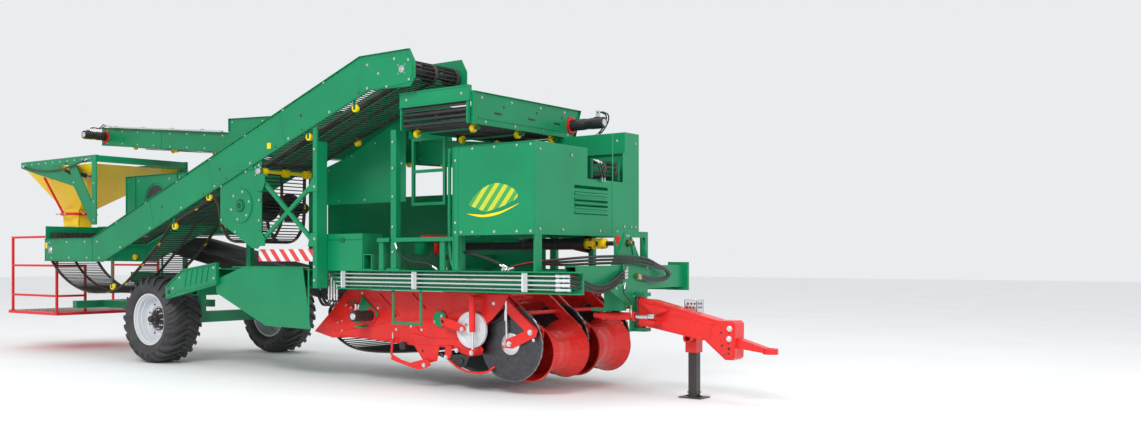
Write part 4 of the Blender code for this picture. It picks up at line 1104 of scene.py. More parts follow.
def make_deck_trims():
    """Treads on the deck, bolts on the tower and the guard panel, the tool box's lid."""
    deck = Shape()
    for number in range(13):
        x = 3.84 + number * 0.076
        for step in range(6):
            y = -1.08 + step * 0.16 + 0.03 * (number % 2)
            deck.box((x, x + 0.04), (y, y + 0.010), (1.490, 1.494))
    # The treads take the darkened green: painted shade.
    deck.done("deck_treads", "frame", "green_painted_shade")
    bolts = Shape()
    bolts.near_bolts(-1.1405, 0.009, [(4.005, z) for z in (1.35, 1.60, 1.90, 2.18, 2.44)])
    panel_skin = span("guard_panel")[1][0]
    bolts.near_bolts(panel_skin, 0.009, (
        (2.60, 1.93), (3.00, 1.93), (3.50, 1.93), (2.44, 2.28), (2.80, 2.42), (3.15, 2.54),
        (3.52, 2.66), (3.54, 2.30)))
    bolts.done("tower_and_panel_bolts", "frame", "zinc")
    along, (skin, _), _ = span("tool_box")
    seams = Shape()
    seams.box(along, (skin - 0.004, skin), (1.475, 1.481))
    seams.box((3.28, 3.34), (skin - 0.012, skin), (1.455, 1.495))
    # The seams take the darkened green: painted shade in the crease under the lid.
    seams.done("tool_box_seams", "frame", "green_painted_shade", bevel=0.001)


def make_gearbox_trims():
    """Cooling ribs on the gearbox and the bellows on its shaft."""
    ribs = Shape()
    for x in (3.53, 3.58, 3.63, 3.68):
        ribs.box((x, x + 0.012), (-0.130, 0.130), (1.325, 1.54))
    ribs.turned([(0.001, 0), (0.07, 0), (0.07, 0.02), (0.05, 0.035), (0.001, 0.035)],
                (3.62, -0.12, 1.43), (0, -1, 0), 20)
    ribs.done("gearbox_ribs", "frame", "red", bevel=0.002)
    bellows = Shape()
    profile = [(0.001, 0.0)]
    for number in range(7):
        profile += [(0.075, 0.004 + number * 0.022), (0.055, 0.015 + number * 0.022)]
    profile += [(0.04, 0.16), (0.001, 0.16)]
    bellows.turned(profile, (3.74, 0, 1.43), (1, 0, 0), 24)
    bellows.done("gearbox_bellows", "frame", "hose", angle=50)


make_filling_trims()
make_cross_trims()
make_hopper_trims()
make_housing_trims()
make_platform_trims()
make_deck_trims()
make_gearbox_trims()


# --- Digger unit ------------------------------------------------------------------------------

DIGGER_SKIN = -0.854  # the near plate's outer face
DISC_X, DISC_Z = 5.20, 0.48
ROLLER_X, ROLLER_Z = 5.34, 0.405
HAULM_X, HAULM_Z = 4.80, 0.60


def make_digger_plate():
    """Folds, creases, brackets, links and the web motor on the digger's near plate."""
    skin = DIGGER_SKIN
    body = "digger"
    folds = Shape()
    for path, thick in (
        ([(2.88, 0.505), (3.27, 0.56), (3.49, 0.60), (3.81, 0.65), (4.22, 0.69), (4.61, 0.77),
          (4.73, 0.80), (5.10, 0.885)], 0.014),
        ([(2.96, 0.455), (3.65, 0.445), (3.81, 0.475)], 0.010),
        ([(3.57, 0.92), (3.84, 0.70)], 0.009), ([(4.02, 0.93), (4.19, 0.78)], 0.014),
        ([(4.05, 0.62), (4.17, 0.50)], 0.010), ([(3.12, 0.948), (5.20, 0.948)], 0.010),
    ):
        folds.ribbon(path, (skin - 0.011, skin + 0.001), thick)
    lower = [(3.97, 0.485), (4.10, 0.425), (4.38, 0.425), (4.56, 0.435), (4.80, 0.365),
             (4.90, 0.375), (4.92, 0.42), (4.86, 0.47), (4.56, 0.50), (4.30, 0.49), (4.02, 0.53)]
    folds.prism(lower, (skin - 0.014, skin))
    folds.prism([(4.02, 0.44), (4.16, 0.27), (4.24, 0.245), (4.34, 0.27), (4.38, 0.43)],
                (skin - 0.008, skin + 0.004))
    folds.prism([(4.46, 0.43), (4.45, 0.33), (4.49, 0.29), (4.54, 0.33), (4.54, 0.43)],
                (skin - 0.020, skin - 0.012))
    link = [(4.45, 0.71), (4.47, 0.63), (4.72, 0.575), (4.76, 0.60), (4.75, 0.64), (4.60, 0.69)]
    folds.prism(link, (skin - 0.086, skin - 0.076))
    folds.rod((4.475, skin, 0.67), (4.475, skin - 0.086, 0.67), 0.022, sides=14)
    folds.prism([(4.86, 0.945), (5.215, 0.945), (5.13, 0.81), (5.02, 0.70), (4.95, 0.66),
                 (4.91, 0.76)], (skin - 0.018, skin))
    folds.done("digger_folds_and_brackets", body, "red", bevel=0.002)
    green = Shape()
    green.prism([(3.33, 0.90), (3.37, 0.86), (3.56, 0.72), (3.55, 0.68), (3.46, 0.65),
                 (3.22, 0.60)], (skin - 0.016, skin - 0.004))
    green.turned([(0.001, 0.012), (0.078, 0.012), (0.081, 0.006), (0.081, 0.0), (0.001, 0.0)],
                 (4.39, skin - 0.014, 0.69), (0, -1, 0), 28)
    green.box((3.30, 3.40), (skin - 0.10, skin), (0.565, 0.585))
    green.done("digger_green_brackets", body, "green", bevel=0.002)
    rods = Shape()
    rods.rod((3.77, skin - 0.045, 0.29), (3.79, skin - 0.045, 0.47), 0.013, sides=10)
    rods.tube([(4.52, skin - 0.03, 0.29), (4.62, skin - 0.03, 0.23), (4.73, skin - 0.03, 0.195),
               (4.90, skin - 0.03, 0.19), (4.97, skin - 0.01, 0.205), (5.00, skin + 0.06, 0.25)],
              0.011, 10)
    rods.prism([(3.73, 0.27), (3.80, 0.25), (3.90, 0.225), (4.14, 0.175), (4.22, 0.19),
                (4.30, 0.225), (4.28, 0.275), (4.18, 0.275), (4.03, 0.235), (3.90, 0.262),
                (3.84, 0.29), (3.78, 0.31)], (skin - 0.060, skin - 0.046))
    ram_y = skin - 0.115
    rods.rod((4.865, ram_y, 0.915), (4.870, ram_y, 0.585), 0.032, 0.030, sides=20)
    rods.rod((4.865, ram_y - 0.034, 0.915), (4.865, skin + 0.004, 0.915), 0.022, sides=14)
    rods.rod((4.872, ram_y - 0.020, 0.39), (4.872, skin + 0.004, 0.39), 0.033, sides=20)
    rods.done("digger_links", body, "red")
    pins = Shape()
    pins.rod((4.870, ram_y, 0.60), (4.872, ram_y, 0.39), 0.014, sides=14)
    for x, z, out in ((3.77, 0.285, 0.062), (4.22, 0.225, 0.062), (4.47, 0.315, 0.022),
                      (4.872, 0.39, 0.135), (4.72, 0.605, 0.086), (4.60, 0.39, 0.016)):
        pins.bolt((x, skin - out, z), NEAR, 0.017)
    pins.rod((3.79, skin - 0.045, 0.47), (3.79, skin - 0.045, 0.53), 0.008, sides=8)
    pins.near_bolts(skin - 0.001, 0.010, (
        (3.32, 0.92), (3.55, 0.77), (4.00, 0.60), (4.14, 0.57), (4.06, 0.455), (4.20, 0.46),
        (4.33, 0.47), (3.80, 0.56), (5.03, 0.885), (3.02, 0.62), (3.02, 0.52), (2.95, 0.60)))
    pins.near_bolts(skin - 0.027, 0.010, ((4.33, 0.66), (4.42, 0.72)))
    pins.bolt((5.05, skin - 0.018, 0.86), NEAR, 0.012)
    pins.done("digger_pins", body, "zinc")
    black = Shape()
    black.rod((3.91, skin - 0.040, 0.40), (3.91, skin, 0.40), 0.040, sides=20)
    black.prism([(4.52, 0.34), (4.58, 0.25), (4.64, 0.22), (4.72, 0.25), (4.76, 0.33),
                 (4.66, 0.36)], (skin - 0.024, skin - 0.006))
    black.ball((4.66, skin - 0.032, 0.285), 0.035, (1, 0.5, 1))
    black.rod((3.78, skin, 0.70), (3.78, skin - 0.004, 0.70), 0.022, sides=16)
    black.rod((4.16, skin, 0.36), (4.16, skin - 0.0095, 0.36), 0.014, sides=12)
    black.done("digger_tensioner", body, "plastic_and_hole_shade", bevel=0.001)
    make_motor("digger_motor", body, (3.45, skin - 0.004, 0.69), (3.45, skin - 0.285, 0.69), 0.056)


def make_discs():
    """Bright hub rings with their bolts, and worn edges, on the cutting discs."""
    for name, y, side in (("near", -0.796, -1), ("far", 0.796, 1), ("middle", 0.0, -1)):
        ring = Shape()
        ring.turned([(0.001, 0.021), (0.096, 0.021), (0.104, 0.016), (0.108, 0.0), (0.001, 0.0)],
                    (DISC_X, y + side * 0.001, DISC_Z), (0, side, 0), 36)
        for turn in turns(6):
            head = Vector((DISC_X, y + side * 0.021, DISC_Z)) + spoke(turn) * 0.082
            ring.rod(head, head + Vector((0, side * 0.0022, 0)), 0.009, sides=6)
        ring.done(f"{name}_disc_hub", f"{name}_disc", "zinc")
        edge = Shape()
        edge.turned([(0.352, -0.005), (0.3595, -0.001), (0.3595, 0.001), (0.352, 0.005)],
                    (DISC_X, y, DISC_Z), (0, 1, 0), 64, closed=True)
        edge.done(f"{name}_disc_edge", f"{name}_disc", "steel")


def make_yoke_trims():
    """Pins, a spring rod, flanges and a grease line on each roller yoke."""
    for name, side in (("near", -1), ("far", 1)):
        body = f"{name}_yoke"
        out = (0, side, 0)
        y = side * 0.835
        caps = Shape()
        for x, z, radius in ((5.20, 0.48, 0.020), (5.44, 0.600, 0.020), (5.48, 0.53, 0.012),
                             (4.97, 0.92, 0.018), (5.22, 0.49, 0.008)):
            caps.bolt((x, y, z), out, radius)
        caps.rod((5.16, side * 0.828, 0.86), (5.17, side * 0.828, 0.54), 0.011, sides=12)
        caps.rod((5.16, side * 0.828, 0.90), (5.16, side * 0.828, 0.70), 0.019, sides=14)
        for y2 in (side * 0.742, side * 0.060):
            caps.bolt((5.40, y2, 0.555), (0, -1 if y2 < side * 0.4 else 1, 0), 0.012)
        caps.done(f"{name}_yoke_pins", body, "zinc")
        rails = Shape()
        for at in (0.8225, 0.7235, 0.0765):
            rails.ribbon([(4.97, 0.955), (5.12, 0.945), (5.505, 0.625)],
                         tuple(sorted((side * (at - 0.020), side * (at + 0.020)))), 0.006)
        rails.done(f"{name}_yoke_flanges", body, "red", bevel=0.001)
        hose = Shape()
        path = smooth([(5.10, 0.93), (5.16, 0.84), (5.13, 0.74), (5.02, 0.68), (4.93, 0.68)], 5)
        hose.tube([(x, side * 0.842, z) for x, z in path], 0.006)
        hose.done(f"{name}_yoke_grease_line", body, "hose")


def make_roller_trims():
    """Weld beads and hubs on each diabolo roller."""
    for name, side in (("near", -1), ("far", 1)):
        y = side * 0.40
        beads = Shape()
        for at in (0.298, -0.298):
            beads.turned([(0.270, at - 0.003), (0.286, at - 0.003), (0.286, at + 0.002),
                          (0.270, at + 0.002)], (ROLLER_X, y, ROLLER_Z), steps=48, closed=True)
        for at, radius in ((0.10, 0.2035), (-0.10, 0.2035), (0.0, 0.2015)):
            beads.turned([(radius - 0.003, at - 0.004), (radius, at), (radius - 0.003, at + 0.004)],
                         (ROLLER_X, y, ROLLER_Z), steps=48, closed=True)
        beads.done(f"{name}_roller_rims", f"{name}_roller", "red_worn")
        hubs = Shape()
        for hand in (-1, 1):
            hubs.turned([(0.001, 0.02), (0.030, 0.02), (0.034, 0.01), (0.075, 0.006),
                         (0.080, 0.0), (0.001, 0.0)],
                        (ROLLER_X, y + hand * 0.014, ROLLER_Z), (0, hand, 0), 24)
        hubs.done(f"{name}_roller_hubs", f"{name}_roller", "red")


def make_haulm_wheel():
    """The pressed wheel beside the digger and its bolts."""
    wheel = Shape()
    centre = Vector((HAULM_X, DIGGER_SKIN - 0.012, HAULM_Z))
    wheel.turned([(0.001, 0.060), (0.030, 0.060), (0.034, 0.052), (0.044, 0.050), (0.050, 0.020),
                  (0.130, 0.014), (0.142, 0.024), (0.160, 0.030), (0.165, 0.038), (0.175, 0.036),
                  (0.175, 0.004), (0.165, 0.0), (0.001, 0.0)], centre, (0, -1, 0), 48)
    wheel.done("haulm_wheel_disc", "haulm_wheel", "white", replaces=("haulm_wheel",), angle=30)
    ring = Shape()
    for turn in turns(5):
        ring.bolt(centre + NEAR * 0.0175 + spoke(turn) * 0.085, NEAR, 0.009)
    ring.done("haulm_wheel_bolts", "haulm_wheel", "zinc")


# --- Rail pipes, headstock, drive shaft, drawbar and jack -------------------------------------


def make_pipe_trims():
    """Clamps on the pipe bundle and the fittings at its front ends."""
    clamps = Shape()
    for x in (3.28, 4.25, 5.56):
        for z in (0.995, 1.150):
            clamps.bolt((x, -1.118, z), NEAR, 0.010)
        clamps.box((x - 0.018, x + 0.018), (-1.119, -1.104), (0.985, 1.162))
    fittings = [1.006 + 0.042 * i for i in range(4)]
    for z in fittings:
        clamps.rod((5.90, -1.10, z), (5.945, -1.10, z), 0.017, sides=6)
        clamps.rod((5.945, -1.10, z), (6.02, -1.10, z), 0.013, sides=12)
        clamps.rod((6.02, -1.10, z), (6.05, -1.10, z), 0.016, sides=6)
    clamps.done("pipe_clamps_and_fittings", "frame", "white", bevel=0.001)


def make_headstock_trims():
    """Bolts, the head of the drawbar's pin and gussets on the headstock."""
    bolts = Shape()
    for y, z in ((-0.20, 1.20), (0.20, 1.20), (-0.40, 1.012), (0.12, 0.95), (-0.06, 0.93)):
        bolts.bolt((6.092, y, z), (1, 0, 0), 0.011)
    for y, z in ((-0.02, 1.50), (0.02, 1.50), (-0.10, 1.30), (0.10, 1.30)):
        bolts.bolt((5.986, y, z), (1, 0, 0), 0.009)
    for z in (1.04, 1.18):
        bolts.bolt((6.01, 1.0052, z), (0, 1, 0), 0.010)
    bolts.done("headstock_bolts", "frame", "zinc")
    pin = Shape()
    pin.turned([(0.001, 0.030), (0.030, 0.030), (0.038, 0.018), (0.038, 0.0), (0.001, 0.0)],
               (6.14, 0, 0.925), (0, 0, 1), 20)
    pin.done("drawbar_pin_head", "frame", "red")
    gussets = Shape()
    for y in (-0.265, 0.257):
        gussets.prism([(5.99, 1.245), (6.075, 1.245), (5.99, 1.50)], (y, y + 0.008))
    gussets.prism([(-0.265, 1.232), (-0.12, 1.232), (-0.045, 1.50), (-0.06, 1.505)],
                  (5.985, 5.994), "yz")
    gussets.prism([(0.12, 1.232), (0.265, 1.232), (0.06, 1.505), (0.045, 1.50)],
                  (5.985, 5.994), "yz")
    gussets.box((5.90, 6.10), (-0.14, -0.12), (0.815, 0.835))
    gussets.done("headstock_gussets", "frame", "green", bevel=0.002)


def make_shaft_trims():
    """The drive shaft's guard with its cone, the yellow joint, red bearing and brass stub."""
    z = 1.43
    cup = Shape()
    cup.turned([(0.060, 0.0), (0.064, 0.0), (0.076, 0.06), (0.088, 0.13), (0.092, 0.15),
                (0.088, 0.15), (0.072, 0.06)], (5.40, 0, z), (1, 0, 0), 32, closed=True)
    for x in (4.05, 4.42, 4.80, 5.18):
        cup.turned([(0.058, 0.0), (0.062, 0.004), (0.062, 0.02), (0.058, 0.024)],
                   (x, 0, z), (1, 0, 0), 28, closed=True)
    cup.done("shaft_guard_cone", "pto_shaft", "plastic_and_hole_shade")
    joint = Shape()
    joint.turned([(0.046, 0.0), (0.052, 0.006), (0.052, 0.045), (0.046, 0.05)],
                 (5.515, 0, z), (1, 0, 0), 20, closed=True)
    for hand in (-1, 1):
        joint.box((5.555, 5.635), (hand * 0.040 - 0.010, hand * 0.040 + 0.010), (z - 0.028, z + 0.028))
        joint.box((5.605, 5.690), (-0.028, 0.028),
                  (z + hand * 0.040 - 0.010, z + hand * 0.040 + 0.010))
    joint.ball((5.62, 0, z), 0.034)
    joint.rod((5.62, -0.056, z), (5.62, 0.056, z), 0.017, sides=14)
    joint.rod((5.62, 0, z - 0.056), (5.62, 0, z + 0.056), 0.017, sides=14)
    joint.turned([(0.023, 0.0), (0.050, 0.0), (0.054, 0.02), (0.048, 0.07), (0.023, 0.075)],
                 (5.685, 0, z), (1, 0, 0), 20, closed=True)
    joint.done("universal_joint", "pto_shaft", "yellow", bevel=0.002)
    stub = Shape()
    stub.turned([(0.023, 0.0), (0.025, 0.0), (0.025, 0.052), (0.021, 0.056)],
                (5.99, 0, z), (1, 0, 0), 24, closed=True)
    for turn in turns(12):
        start = Vector((5.992, 0.0235 * math.cos(turn), z + 0.0235 * math.sin(turn)))
        stub.rod(start, start + Vector((0.055, 0, 0)), 0.003, sides=6)
    stub.done("shaft_splines", "pto_shaft", "brass")
    bearing = Shape()
    bearing.turned([(0.0385, 0.0), (0.066, 0.0), (0.070, 0.008), (0.070, 0.082), (0.064, 0.09),
                    (0.0385, 0.09)], (5.868, 0, z), (1, 0, 0), 28, closed=True)
    bearing.box((5.88, 5.95), (-0.030, 0.030), (1.30, 1.372))
    bearing.done("shaft_bearing", "frame", "red", bevel=0.002)


def make_drawbar_trims():
    """Plates, bolts and holes on the drawbar, and the top of the jack's sleeve."""
    body = "drawbar"
    plates = Shape()
    for side in (-1, 1):
        plates.prism([(6.92, 0.712), (7.06, 0.722), (7.092, 0.70), (7.088, 0.42), (7.06, 0.402),
                      (7.01, 0.402), (6.84, 0.555), (6.90, 0.60), (6.88, 0.65)],
                     tuple(sorted((side * 0.092, side * 0.099))))
        faces = tuple(sorted((side * 0.080, side * 0.086)))
        plates.ribbon([(6.30, 0.882), (6.48, 0.838), (6.90, 0.738)], faces, 0.014)
        plates.ribbon([(6.30, 0.655), (6.80, 0.565)], faces, 0.014)
        plates.ribbon([(6.385, 0.70), (6.47, 0.775), (6.90, 0.70)], faces, 0.010)
        plates.ribbon([(6.385, 0.70), (6.42, 0.645)], faces, 0.010)
    plates.prism([(6.19, 0.872), (6.46, 0.812), (6.32, 0.745)], (-0.112, -0.104))
    plates.prism([(6.19, 0.878), (6.46, 0.818), (6.46, 0.810), (6.19, 0.870)], (-0.112, -0.080))
    plates.prism([(6.31, 0.750), (6.46, 0.818), (6.465, 0.810), (6.32, 0.742)], (-0.112, -0.080))
    plates.done("drawbar_plates_and_gusset", body, "red", bevel=0.002)
    bolts = Shape()
    for x, z in ((7.055, 0.668), (7.050, 0.578)):
        bolts.bolt((x, -0.099, z), NEAR, 0.019)
        bolts.bolt((x, 0.099, z), (0, 1, 0), 0.019)
    bolts.done("hitch_plate_bolts", body, "zinc")
    # Dark discs on both plates: painted shade inside the holes.
    holes = Shape()
    for x, z, radius in ((6.975, 0.63, 0.010), (7.052, 0.625, 0.007), (6.985, 0.515, 0.011),
                         (7.045, 0.535, 0.007), (7.048, 0.490, 0.013), (7.045, 0.447, 0.011),
                         (7.005, 0.435, 0.007)):
        for y, side in ((-0.0992, -1), (0.0992, 1)):
            holes.rod((x, y, z), (x, y + side * 0.0008, z), radius, sides=16)
    holes.done("hitch_plate_holes", body, "plastic_and_hole_shade")
    top = Shape()
    near_y, far_y = 0.068, 0.207
    top.box((6.538, 6.544), (near_y, far_y), (0.785, 0.905))
    top.box((6.656, 6.662), (near_y, far_y), (0.785, 0.905))
    top.box((6.538, 6.662), (near_y, near_y + 0.006), (0.785, 0.905))
    top.box((6.538, 6.662), (far_y - 0.006, far_y), (0.785, 0.905))
    top.box((6.536, 6.664), (near_y - 0.001, far_y + 0.001), (0.903, 0.909))
    top.done("jack_sleeve_top", body, "zinc", bevel=0.001)
    # Dark discs on the sleeve: painted shade inside its holes.
    drilled = Shape()
    for row, z in enumerate((0.835, 0.870)):
        for number in range(3):
            x = 6.565 + 0.033 * number + 0.010 * row
            drilled.rod((x, near_y, z), (x, near_y - 0.0008, z), 0.010, sides=14)
        for number in range(3):
            y = near_y + 0.034 + 0.033 * number
            drilled.rod((6.662, y, z), (6.6628, y, z), 0.010, sides=14)
    drilled.done("jack_sleeve_holes", body, "plastic_and_hole_shade")
    socket_ring = Shape()
    socket_ring.turned([(0.026, 0.0), (0.040, 0.0), (0.044, 0.008), (0.044, 0.07), (0.026, 0.07)],
                       (6.60, 0.074, 0.555), (0, -1, 0), 24, closed=True)
    socket_ring.done("jack_crank_socket", body, "red")


def make_jack_trims():
    """A gusset on the jack's foot and the collar over it."""
    (x0, x1), (y0, y1), _ = span("jack_leg")
    middle = (y0 + y1) / 2
    trims = Shape()
    trims.prism([(x0 + 0.015, 0.0125), (x1 - 0.015, 0.0125), (x1 - 0.07, 0.035),
                 (x0 + 0.07, 0.035)], (middle - 0.006, middle + 0.006))
    trims.box((6.552, 6.648), (middle - 0.048, middle + 0.048), (0.045, 0.057))
    trims.done("jack_collars", "jack", "black", bevel=0.002)


def make_steering_trims():
    """Ports and rings on the steering cylinder."""
    glands = Shape()
    start = Vector((5.80, -0.24, 0.75))
    along = Vector((0.997366, 0.072536, 0))
    for distance in (0.075, 0.345):
        place = start + along * distance
        glands.rod(place, place + UP * 0.052, 0.013, sides=6)
        glands.rod(place + UP * 0.05, place + UP * 0.062, 0.010, sides=10)
    glands.done("steering_cylinder_ports", "steering_barrel", "zinc")
    rings = Shape()
    for distance in (0.05, 0.365):
        rings.turned([(0.034, 0.0), (0.041, 0.004), (0.041, 0.022), (0.034, 0.026)],
                     start + along * distance, along, 24, closed=True)
    rings.done("steering_cylinder_rings", "steering_barrel", "red")


# --- Front boxes ------------------------------------------------------------------------------


def make_front_box_trims():
    """Strips, bolts, louvre hoods, the leaf decal and the discharge web's cheeks."""
    (x0, x1), (skin, _), (z0, z1) = span("front_box")
    trims = Shape()
    trims.box((x0, x0 + 0.060), (skin - 0.004, skin), (z0 + 0.004, z1 - 0.002))
    trims.box((x0, x0 + 0.012), (skin - 0.010, skin), (z0 + 0.004, z1 - 0.002))
    trims.ribbon([(x0 + 0.002, z1 - 0.003), (x1 - 0.002, z1 - 0.003)], (skin - 0.010, skin), 0.005)
    trims.box((x1, x1 + 0.004), (skin + 0.002, skin + 0.050), (z0 + 0.004, z1 - 0.002))
    trims.box((x1, x1 + 0.003), (0.13, 0.15), (1.53, 2.50))
    trims.ribbon([(x1 + 0.001, z0 + 0.004), (x1 + 0.012, z0 + 0.004)], (skin + 0.01, 0.64), 0.006)
    trims.done("front_box_strips", "frame", "green", bevel=0.001)
    bolts = Shape()
    bolts.near_bolts(skin - 0.004, 0.009, (
        (x0 + 0.03, 2.20), (x0 + 0.03, 1.62), (x0 + 0.03, 1.53), (x0 + 0.10, 1.53)))
    for x in (5.05, 5.30, 5.55, 5.70):
        bolts.bolt((x, skin, 1.53), NEAR, 0.009)
        bolts.bolt((x, skin, 2.30), NEAR, 0.008)
    for y, z in ((-1.12, 2.26), (-1.12, 1.55), (-0.75, 1.55), (-0.60, 2.24), (-0.10, 1.55),
                 (0.22, 1.55), (0.22, 2.44), (0.58, 2.44), (0.58, 1.60), (0.36, 1.60),
                 (0.50, 1.60)):
        bolts.bolt((x1 + 0.004, y, z), (1, 0, 0), 0.009)
    bolts.done("front_box_bolts", "frame", "zinc")
    slats = Shape()
    for number in range(5):
        z = 1.705 + 0.043 * number
        slats.prism([(x1 - 0.001, z), (x1 + 0.011, z + 0.006), (x1 + 0.012, z + 0.012),
                     (x1 - 0.001, z + 0.028)], (-0.545, 0.045))
    slats.done("front_box_louvre_hoods", "frame", "green", bevel=0.001)
    leaf = Shape()
    points = [(5.00, 1.78), (5.12, 1.90), (5.30, 1.97), (5.48, 1.93), (5.56, 1.84),
              (5.40, 1.76), (5.20, 1.71)]
    leaf.prism(smooth(points, 5), (skin - 0.0016, skin - 0.0002))
    leaf.done("front_box_leaf_decal", "frame", "decal")
    swoosh = Shape()
    swoosh.prism(smooth([(4.98, 1.70), (5.16, 1.665), (5.36, 1.69), (5.58, 1.78), (5.38, 1.715),
                         (5.18, 1.685)], 5), (skin - 0.0016, skin - 0.0002))
    swoosh.done("front_box_stripe_decal", "frame", "yellow")
    rollers = Shape()
    for y in (-0.24, 0.26):
        rollers.box((5.60, x1 + 0.004), (y - 0.010, y + 0.010), (2.05, 2.24))
    # The cheeks take the darkened green: painted shade.
    rollers.done("discharge_cheeks", "frame", "green_painted_shade", bevel=0.002)


def make_arm_trims():
    """Ribs, bolts and the lower hole on the ribbed arm, and folds on the side shield."""
    skin = span("ribbed_arm")[1][0]
    ribs = Shape()
    for x in (0.86, 0.96, 1.06, 1.16, 1.26):
        ribs.ribbon([(x - 0.02, 0.95 + (x - 0.86) * 0.16), (x + 0.02, 1.15 + (x - 0.86) * 0.10)],
                    (skin - 0.010, skin), 0.022)
    ribs.ribbon([(0.52, 0.82), (0.72, 0.90), (1.00, 0.925), (1.40, 1.005)],
                (skin - 0.008, skin), 0.010)
    ribs.ribbon([(0.50, 0.945), (0.80, 1.142), (1.40, 1.222)], (skin - 0.012, skin), 0.010)
    ribs.done("arm_ribs", "frame", "green", bevel=0.003)
    # A dark disc: painted shade inside the arm's lower hole.
    hole = Shape()
    hole.rod((0.545, skin, 0.885), (0.545, skin - 0.0012, 0.885), 0.028, sides=20)
    hole.done("arm_hole", "frame", "plastic_and_hole_shade")
    bolts = Shape()
    bolts.near_bolts(skin, 0.011, ((0.62, 0.93), (1.38, 1.06), (1.38, 1.18), (0.75, 1.06)))
    bolts.done("arm_bolts", "frame", "zinc")
    shield = span("side_shield")
    plates = Shape()
    (x0, x1), (y0, _), (z0, z1) = shield
    plates.box((x0 + 0.30, x1 - 0.02), (y0 - 0.006, y0), (z1 - 0.016, z1 - 0.004))
    plates.box((x1 - 0.035, x1 - 0.012), (y0 - 0.006, y0), (z0 + 0.12, z1 - 0.01))
    plates.done("side_shield_folds", "frame", "green", bevel=0.002)


make_digger_plate()
make_discs()
make_yoke_trims()
make_roller_trims()
make_haulm_wheel()
make_pipe_trims()
make_headstock_trims()
make_shaft_trims()
make_drawbar_trims()
make_jack_trims()
make_steering_trims()
make_front_box_trims()
make_arm_trims()


# --- Hoses ------------------------------------------------------------------------------------


def route(points, steps=5):
    """A smooth curve through points in three axes."""
    points = [Vector(point) for point in points]
    ends = [points[0] * 2 - points[1], *points, points[-1] * 2 - points[-2]]
    made = []
    for a, b, c, d in zip(ends, ends[1:], ends[2:], ends[3:]):
        for i in range(steps):
            t = i / steps
            bend = (2 * a - 5 * b + 4 * c - d) * t * t + (3 * b - a - 3 * c + d) * t**3
            made.append((2 * b + (c - a) * t + bend) / 2)
    return [*made, points[-1]]


def make_hose(name, body, points, radius, ends=("zinc", "zinc"), stripe=False):
    """A pressure hose between two fittings, with its real length."""
    line = route(points)
    piece = Shape().tube(line, radius, 12).done(name, body, "hose")
    for end, finish in zip((0, -1), ends):
        tip = line[end]
        inward = (line[1 if end == 0 else -2] - tip).normalized()
        cuff = Shape()
        cuff.rod(tip - inward * 0.004, tip + inward * 0.045, radius * 1.28, sides=14)
        cuff.rod(tip - inward * 0.018, tip - inward * 0.002, radius * 1.45, sides=6)
        cuff.done(f"{name}_fitting_{'a' if end == 0 else 'b'}", body, finish)
    if stripe:
        band = Shape()
        side = Vector((0, -1, 0.4)).normalized()
        band.tube([point + side * (radius * 0.93) for point in line[2:-2]], radius * 0.22, 6)
        band.done(f"{name}_stripe", body, "red_worn")
    return piece


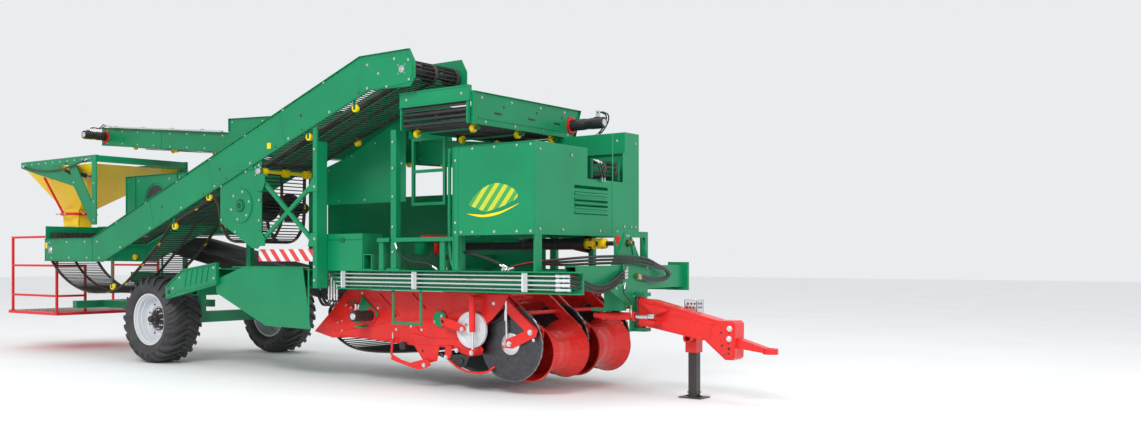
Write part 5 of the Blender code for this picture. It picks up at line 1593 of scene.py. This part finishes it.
def make_hoses():
    """Every hose, from the fitting it leaves to the fitting it reaches."""
    body = "frame"
    for number in range(3):
        shift = 0.030 * number
        make_hose(f"front_hose_{number + 1}", body, [
            (5.985, -1.10, 1.132 - 0.042 * number), (6.062, -1.10, 1.132 - 0.042 * number),
            (6.112, -1.08, 1.120 - 0.042 * number),
            (6.140, -0.98, 1.075 - 0.032 * number), (6.142, -0.80, 1.040 - shift),
            (6.135, -0.60, 1.060 - shift), (6.125, -0.44, 1.110 - shift),
            (6.112, -0.34, 1.150 - shift), (6.105, -0.24, 1.170 - shift),
        ], 0.0115, ("white", "zinc"), stripe=number != 1)
    for number in range(3):
        shift = 0.030 * number
        make_hose(f"loop_hose_{number + 1}", body, [
            (5.30 + shift, -1.055, 1.185), (5.50, -1.00 + shift, 1.240),
            (5.76, -0.86 + shift, 1.275 - shift * 0.8), (5.98, -0.62 + shift, 1.300 - shift),
            (6.118, -0.30 + shift, 1.305 - shift),
            (6.142, 0.04, 1.290 - shift), (6.146, 0.30, 1.225 - shift * 0.5),
            (6.144, 0.48 - shift * 0.6, 1.175), (6.140, 0.545 - shift * 0.6, 1.125),
            (6.136, 0.46 - shift * 0.5, 1.080 + shift * 0.3), (6.130, 0.28, 1.068 + shift * 0.4),
            (6.124, 0.10, 1.085 + shift * 0.4), (6.118, -0.04, 1.105 + shift * 0.4),
        ], 0.0120, ("zinc", "brass"), stripe=number != 1)
    for number, (x, y, far) in enumerate(((5.875, -0.2346, -0.30), (6.143, -0.2151, -0.26))):
        make_hose(f"steering_hose_{number + 1}", "steering_barrel", [
            (x, y, 0.808), (x, y - 0.004, 0.88), (x + (0.02, -0.03)[number], far - 0.03, 0.965),
            (6.105, far - 0.02 + 0.02 * number, 1.045),
        ], 0.0065, ("brass", "zinc"))
    for number in range(2):
        shift = 0.035 * number
        make_hose(f"rail_arch_hose_{number + 1}", body, [
            (4.62 + shift, -1.09, 1.185), (4.60 + shift, -1.095, 1.25), (4.68 + shift, -1.10, 1.315),
            (4.84 + shift, -1.10, 1.345), (5.02 + shift, -1.09, 1.315), (5.20 + shift, -1.07, 1.255),
            (5.30 + shift, -1.05, 1.205),
        ], 0.0105, ("zinc", "zinc"))
    for number in range(4):
        y = -1.10 + 0.010 * (number % 2)
        make_hose(f"rear_hose_{number + 1}", body, [
            (3.19 - 0.04 * number, -1.10, 0.895), (3.185 - 0.042 * number, y, 0.845),
            (3.130 - 0.045 * number, y + 0.03, 0.800), (3.03 - 0.040 * number, y + 0.06, 0.790),
            (2.92 - 0.030 * number, y + 0.09, 0.835), (2.86 - 0.020 * number, y + 0.09, 0.92),
            (2.84, y + 0.09, 0.99 + 0.01 * number),
        ], 0.0095, ("zinc", "zinc"))
    make_hose("digger_motor_hose_1", "digger", [
        (3.10, -0.872, 0.79), (3.18, -0.92, 0.82), (3.28, -1.00, 0.845), (3.38, -1.06, 0.850),
        (3.44, -1.085, 0.82), (3.45, -1.085, 0.772),
    ], 0.0085)
    make_hose("digger_motor_hose_2", "digger", [
        (3.17, -0.872, 0.765), (3.22, -0.90, 0.79), (3.31, -0.96, 0.815), (3.40, -1.02, 0.825),
        (3.45, -1.052, 0.80), (3.45, -1.057, 0.765),
    ], 0.0085)
    z = fill_line(-2.40, 0.13) + 0.078
    for number, start in enumerate((-0.480, -0.452)):
        make_hose(f"filling_hose_{number + 1}", "filling_conveyor", [
            (-2.40, start, z), (-2.395, start + 0.01, z + 0.022), (-2.365, start + 0.06, z + 0.03),
            (-2.335, start + 0.12, z + 0.022),
            (-2.315, -0.300 + 0.05 * number, fill_line(-2.31, 0.298)),
            (-2.300, -0.252 + 0.026 * number, fill_line(-2.30, 0.288)),
        ], 0.0070)
    for number, start in enumerate((5.315, 5.343)):
        make_hose(f"cross_hose_{number + 1}", body, [
            (start, 0.55, 2.764), (start + 0.004, 0.55, 2.785), (start + 0.03, 0.58, 2.792),
            (start + 0.05, 0.65, 2.765), (start + 0.02, 0.685, 2.69), (start - 0.04, 0.67, 2.60),
            (start - 0.10, 0.64, 2.56),
        ], 0.0075)
    make_hose("hopper_hose", body, [
        (-3.40, -0.925, 2.62), (-3.30, -0.935, 2.585), (-3.05, -0.938, 2.54), (-2.70, -0.938, 2.515),
        (-2.35, -0.938, 2.525), (-2.05, -0.938, 2.560), (-1.85, -0.935, 2.600),
        (-1.75, -0.925, 2.630),
    ], 0.0100)
    for number in range(2):
        make_hose(f"notch_hose_{number + 1}", body, [
            (5.752, -0.20 + 0.05 * number, 2.215), (5.775, -0.20 + 0.05 * number, 2.20),
            (5.790, -0.18 + 0.05 * number, 2.13), (5.785, -0.14 + 0.05 * number, 2.065),
            (5.765, -0.10 + 0.05 * number, 2.035),
        ], 0.0080)
    make_hose("tower_hose", body, [
        (4.055, -1.15, 1.42), (4.10, -1.16, 1.34), (4.20, -1.162, 1.285), (4.32, -1.160, 1.255),
        (4.46, -1.145, 1.240), (4.55, -1.120, 1.188),
    ], 0.0090)


make_hoses()
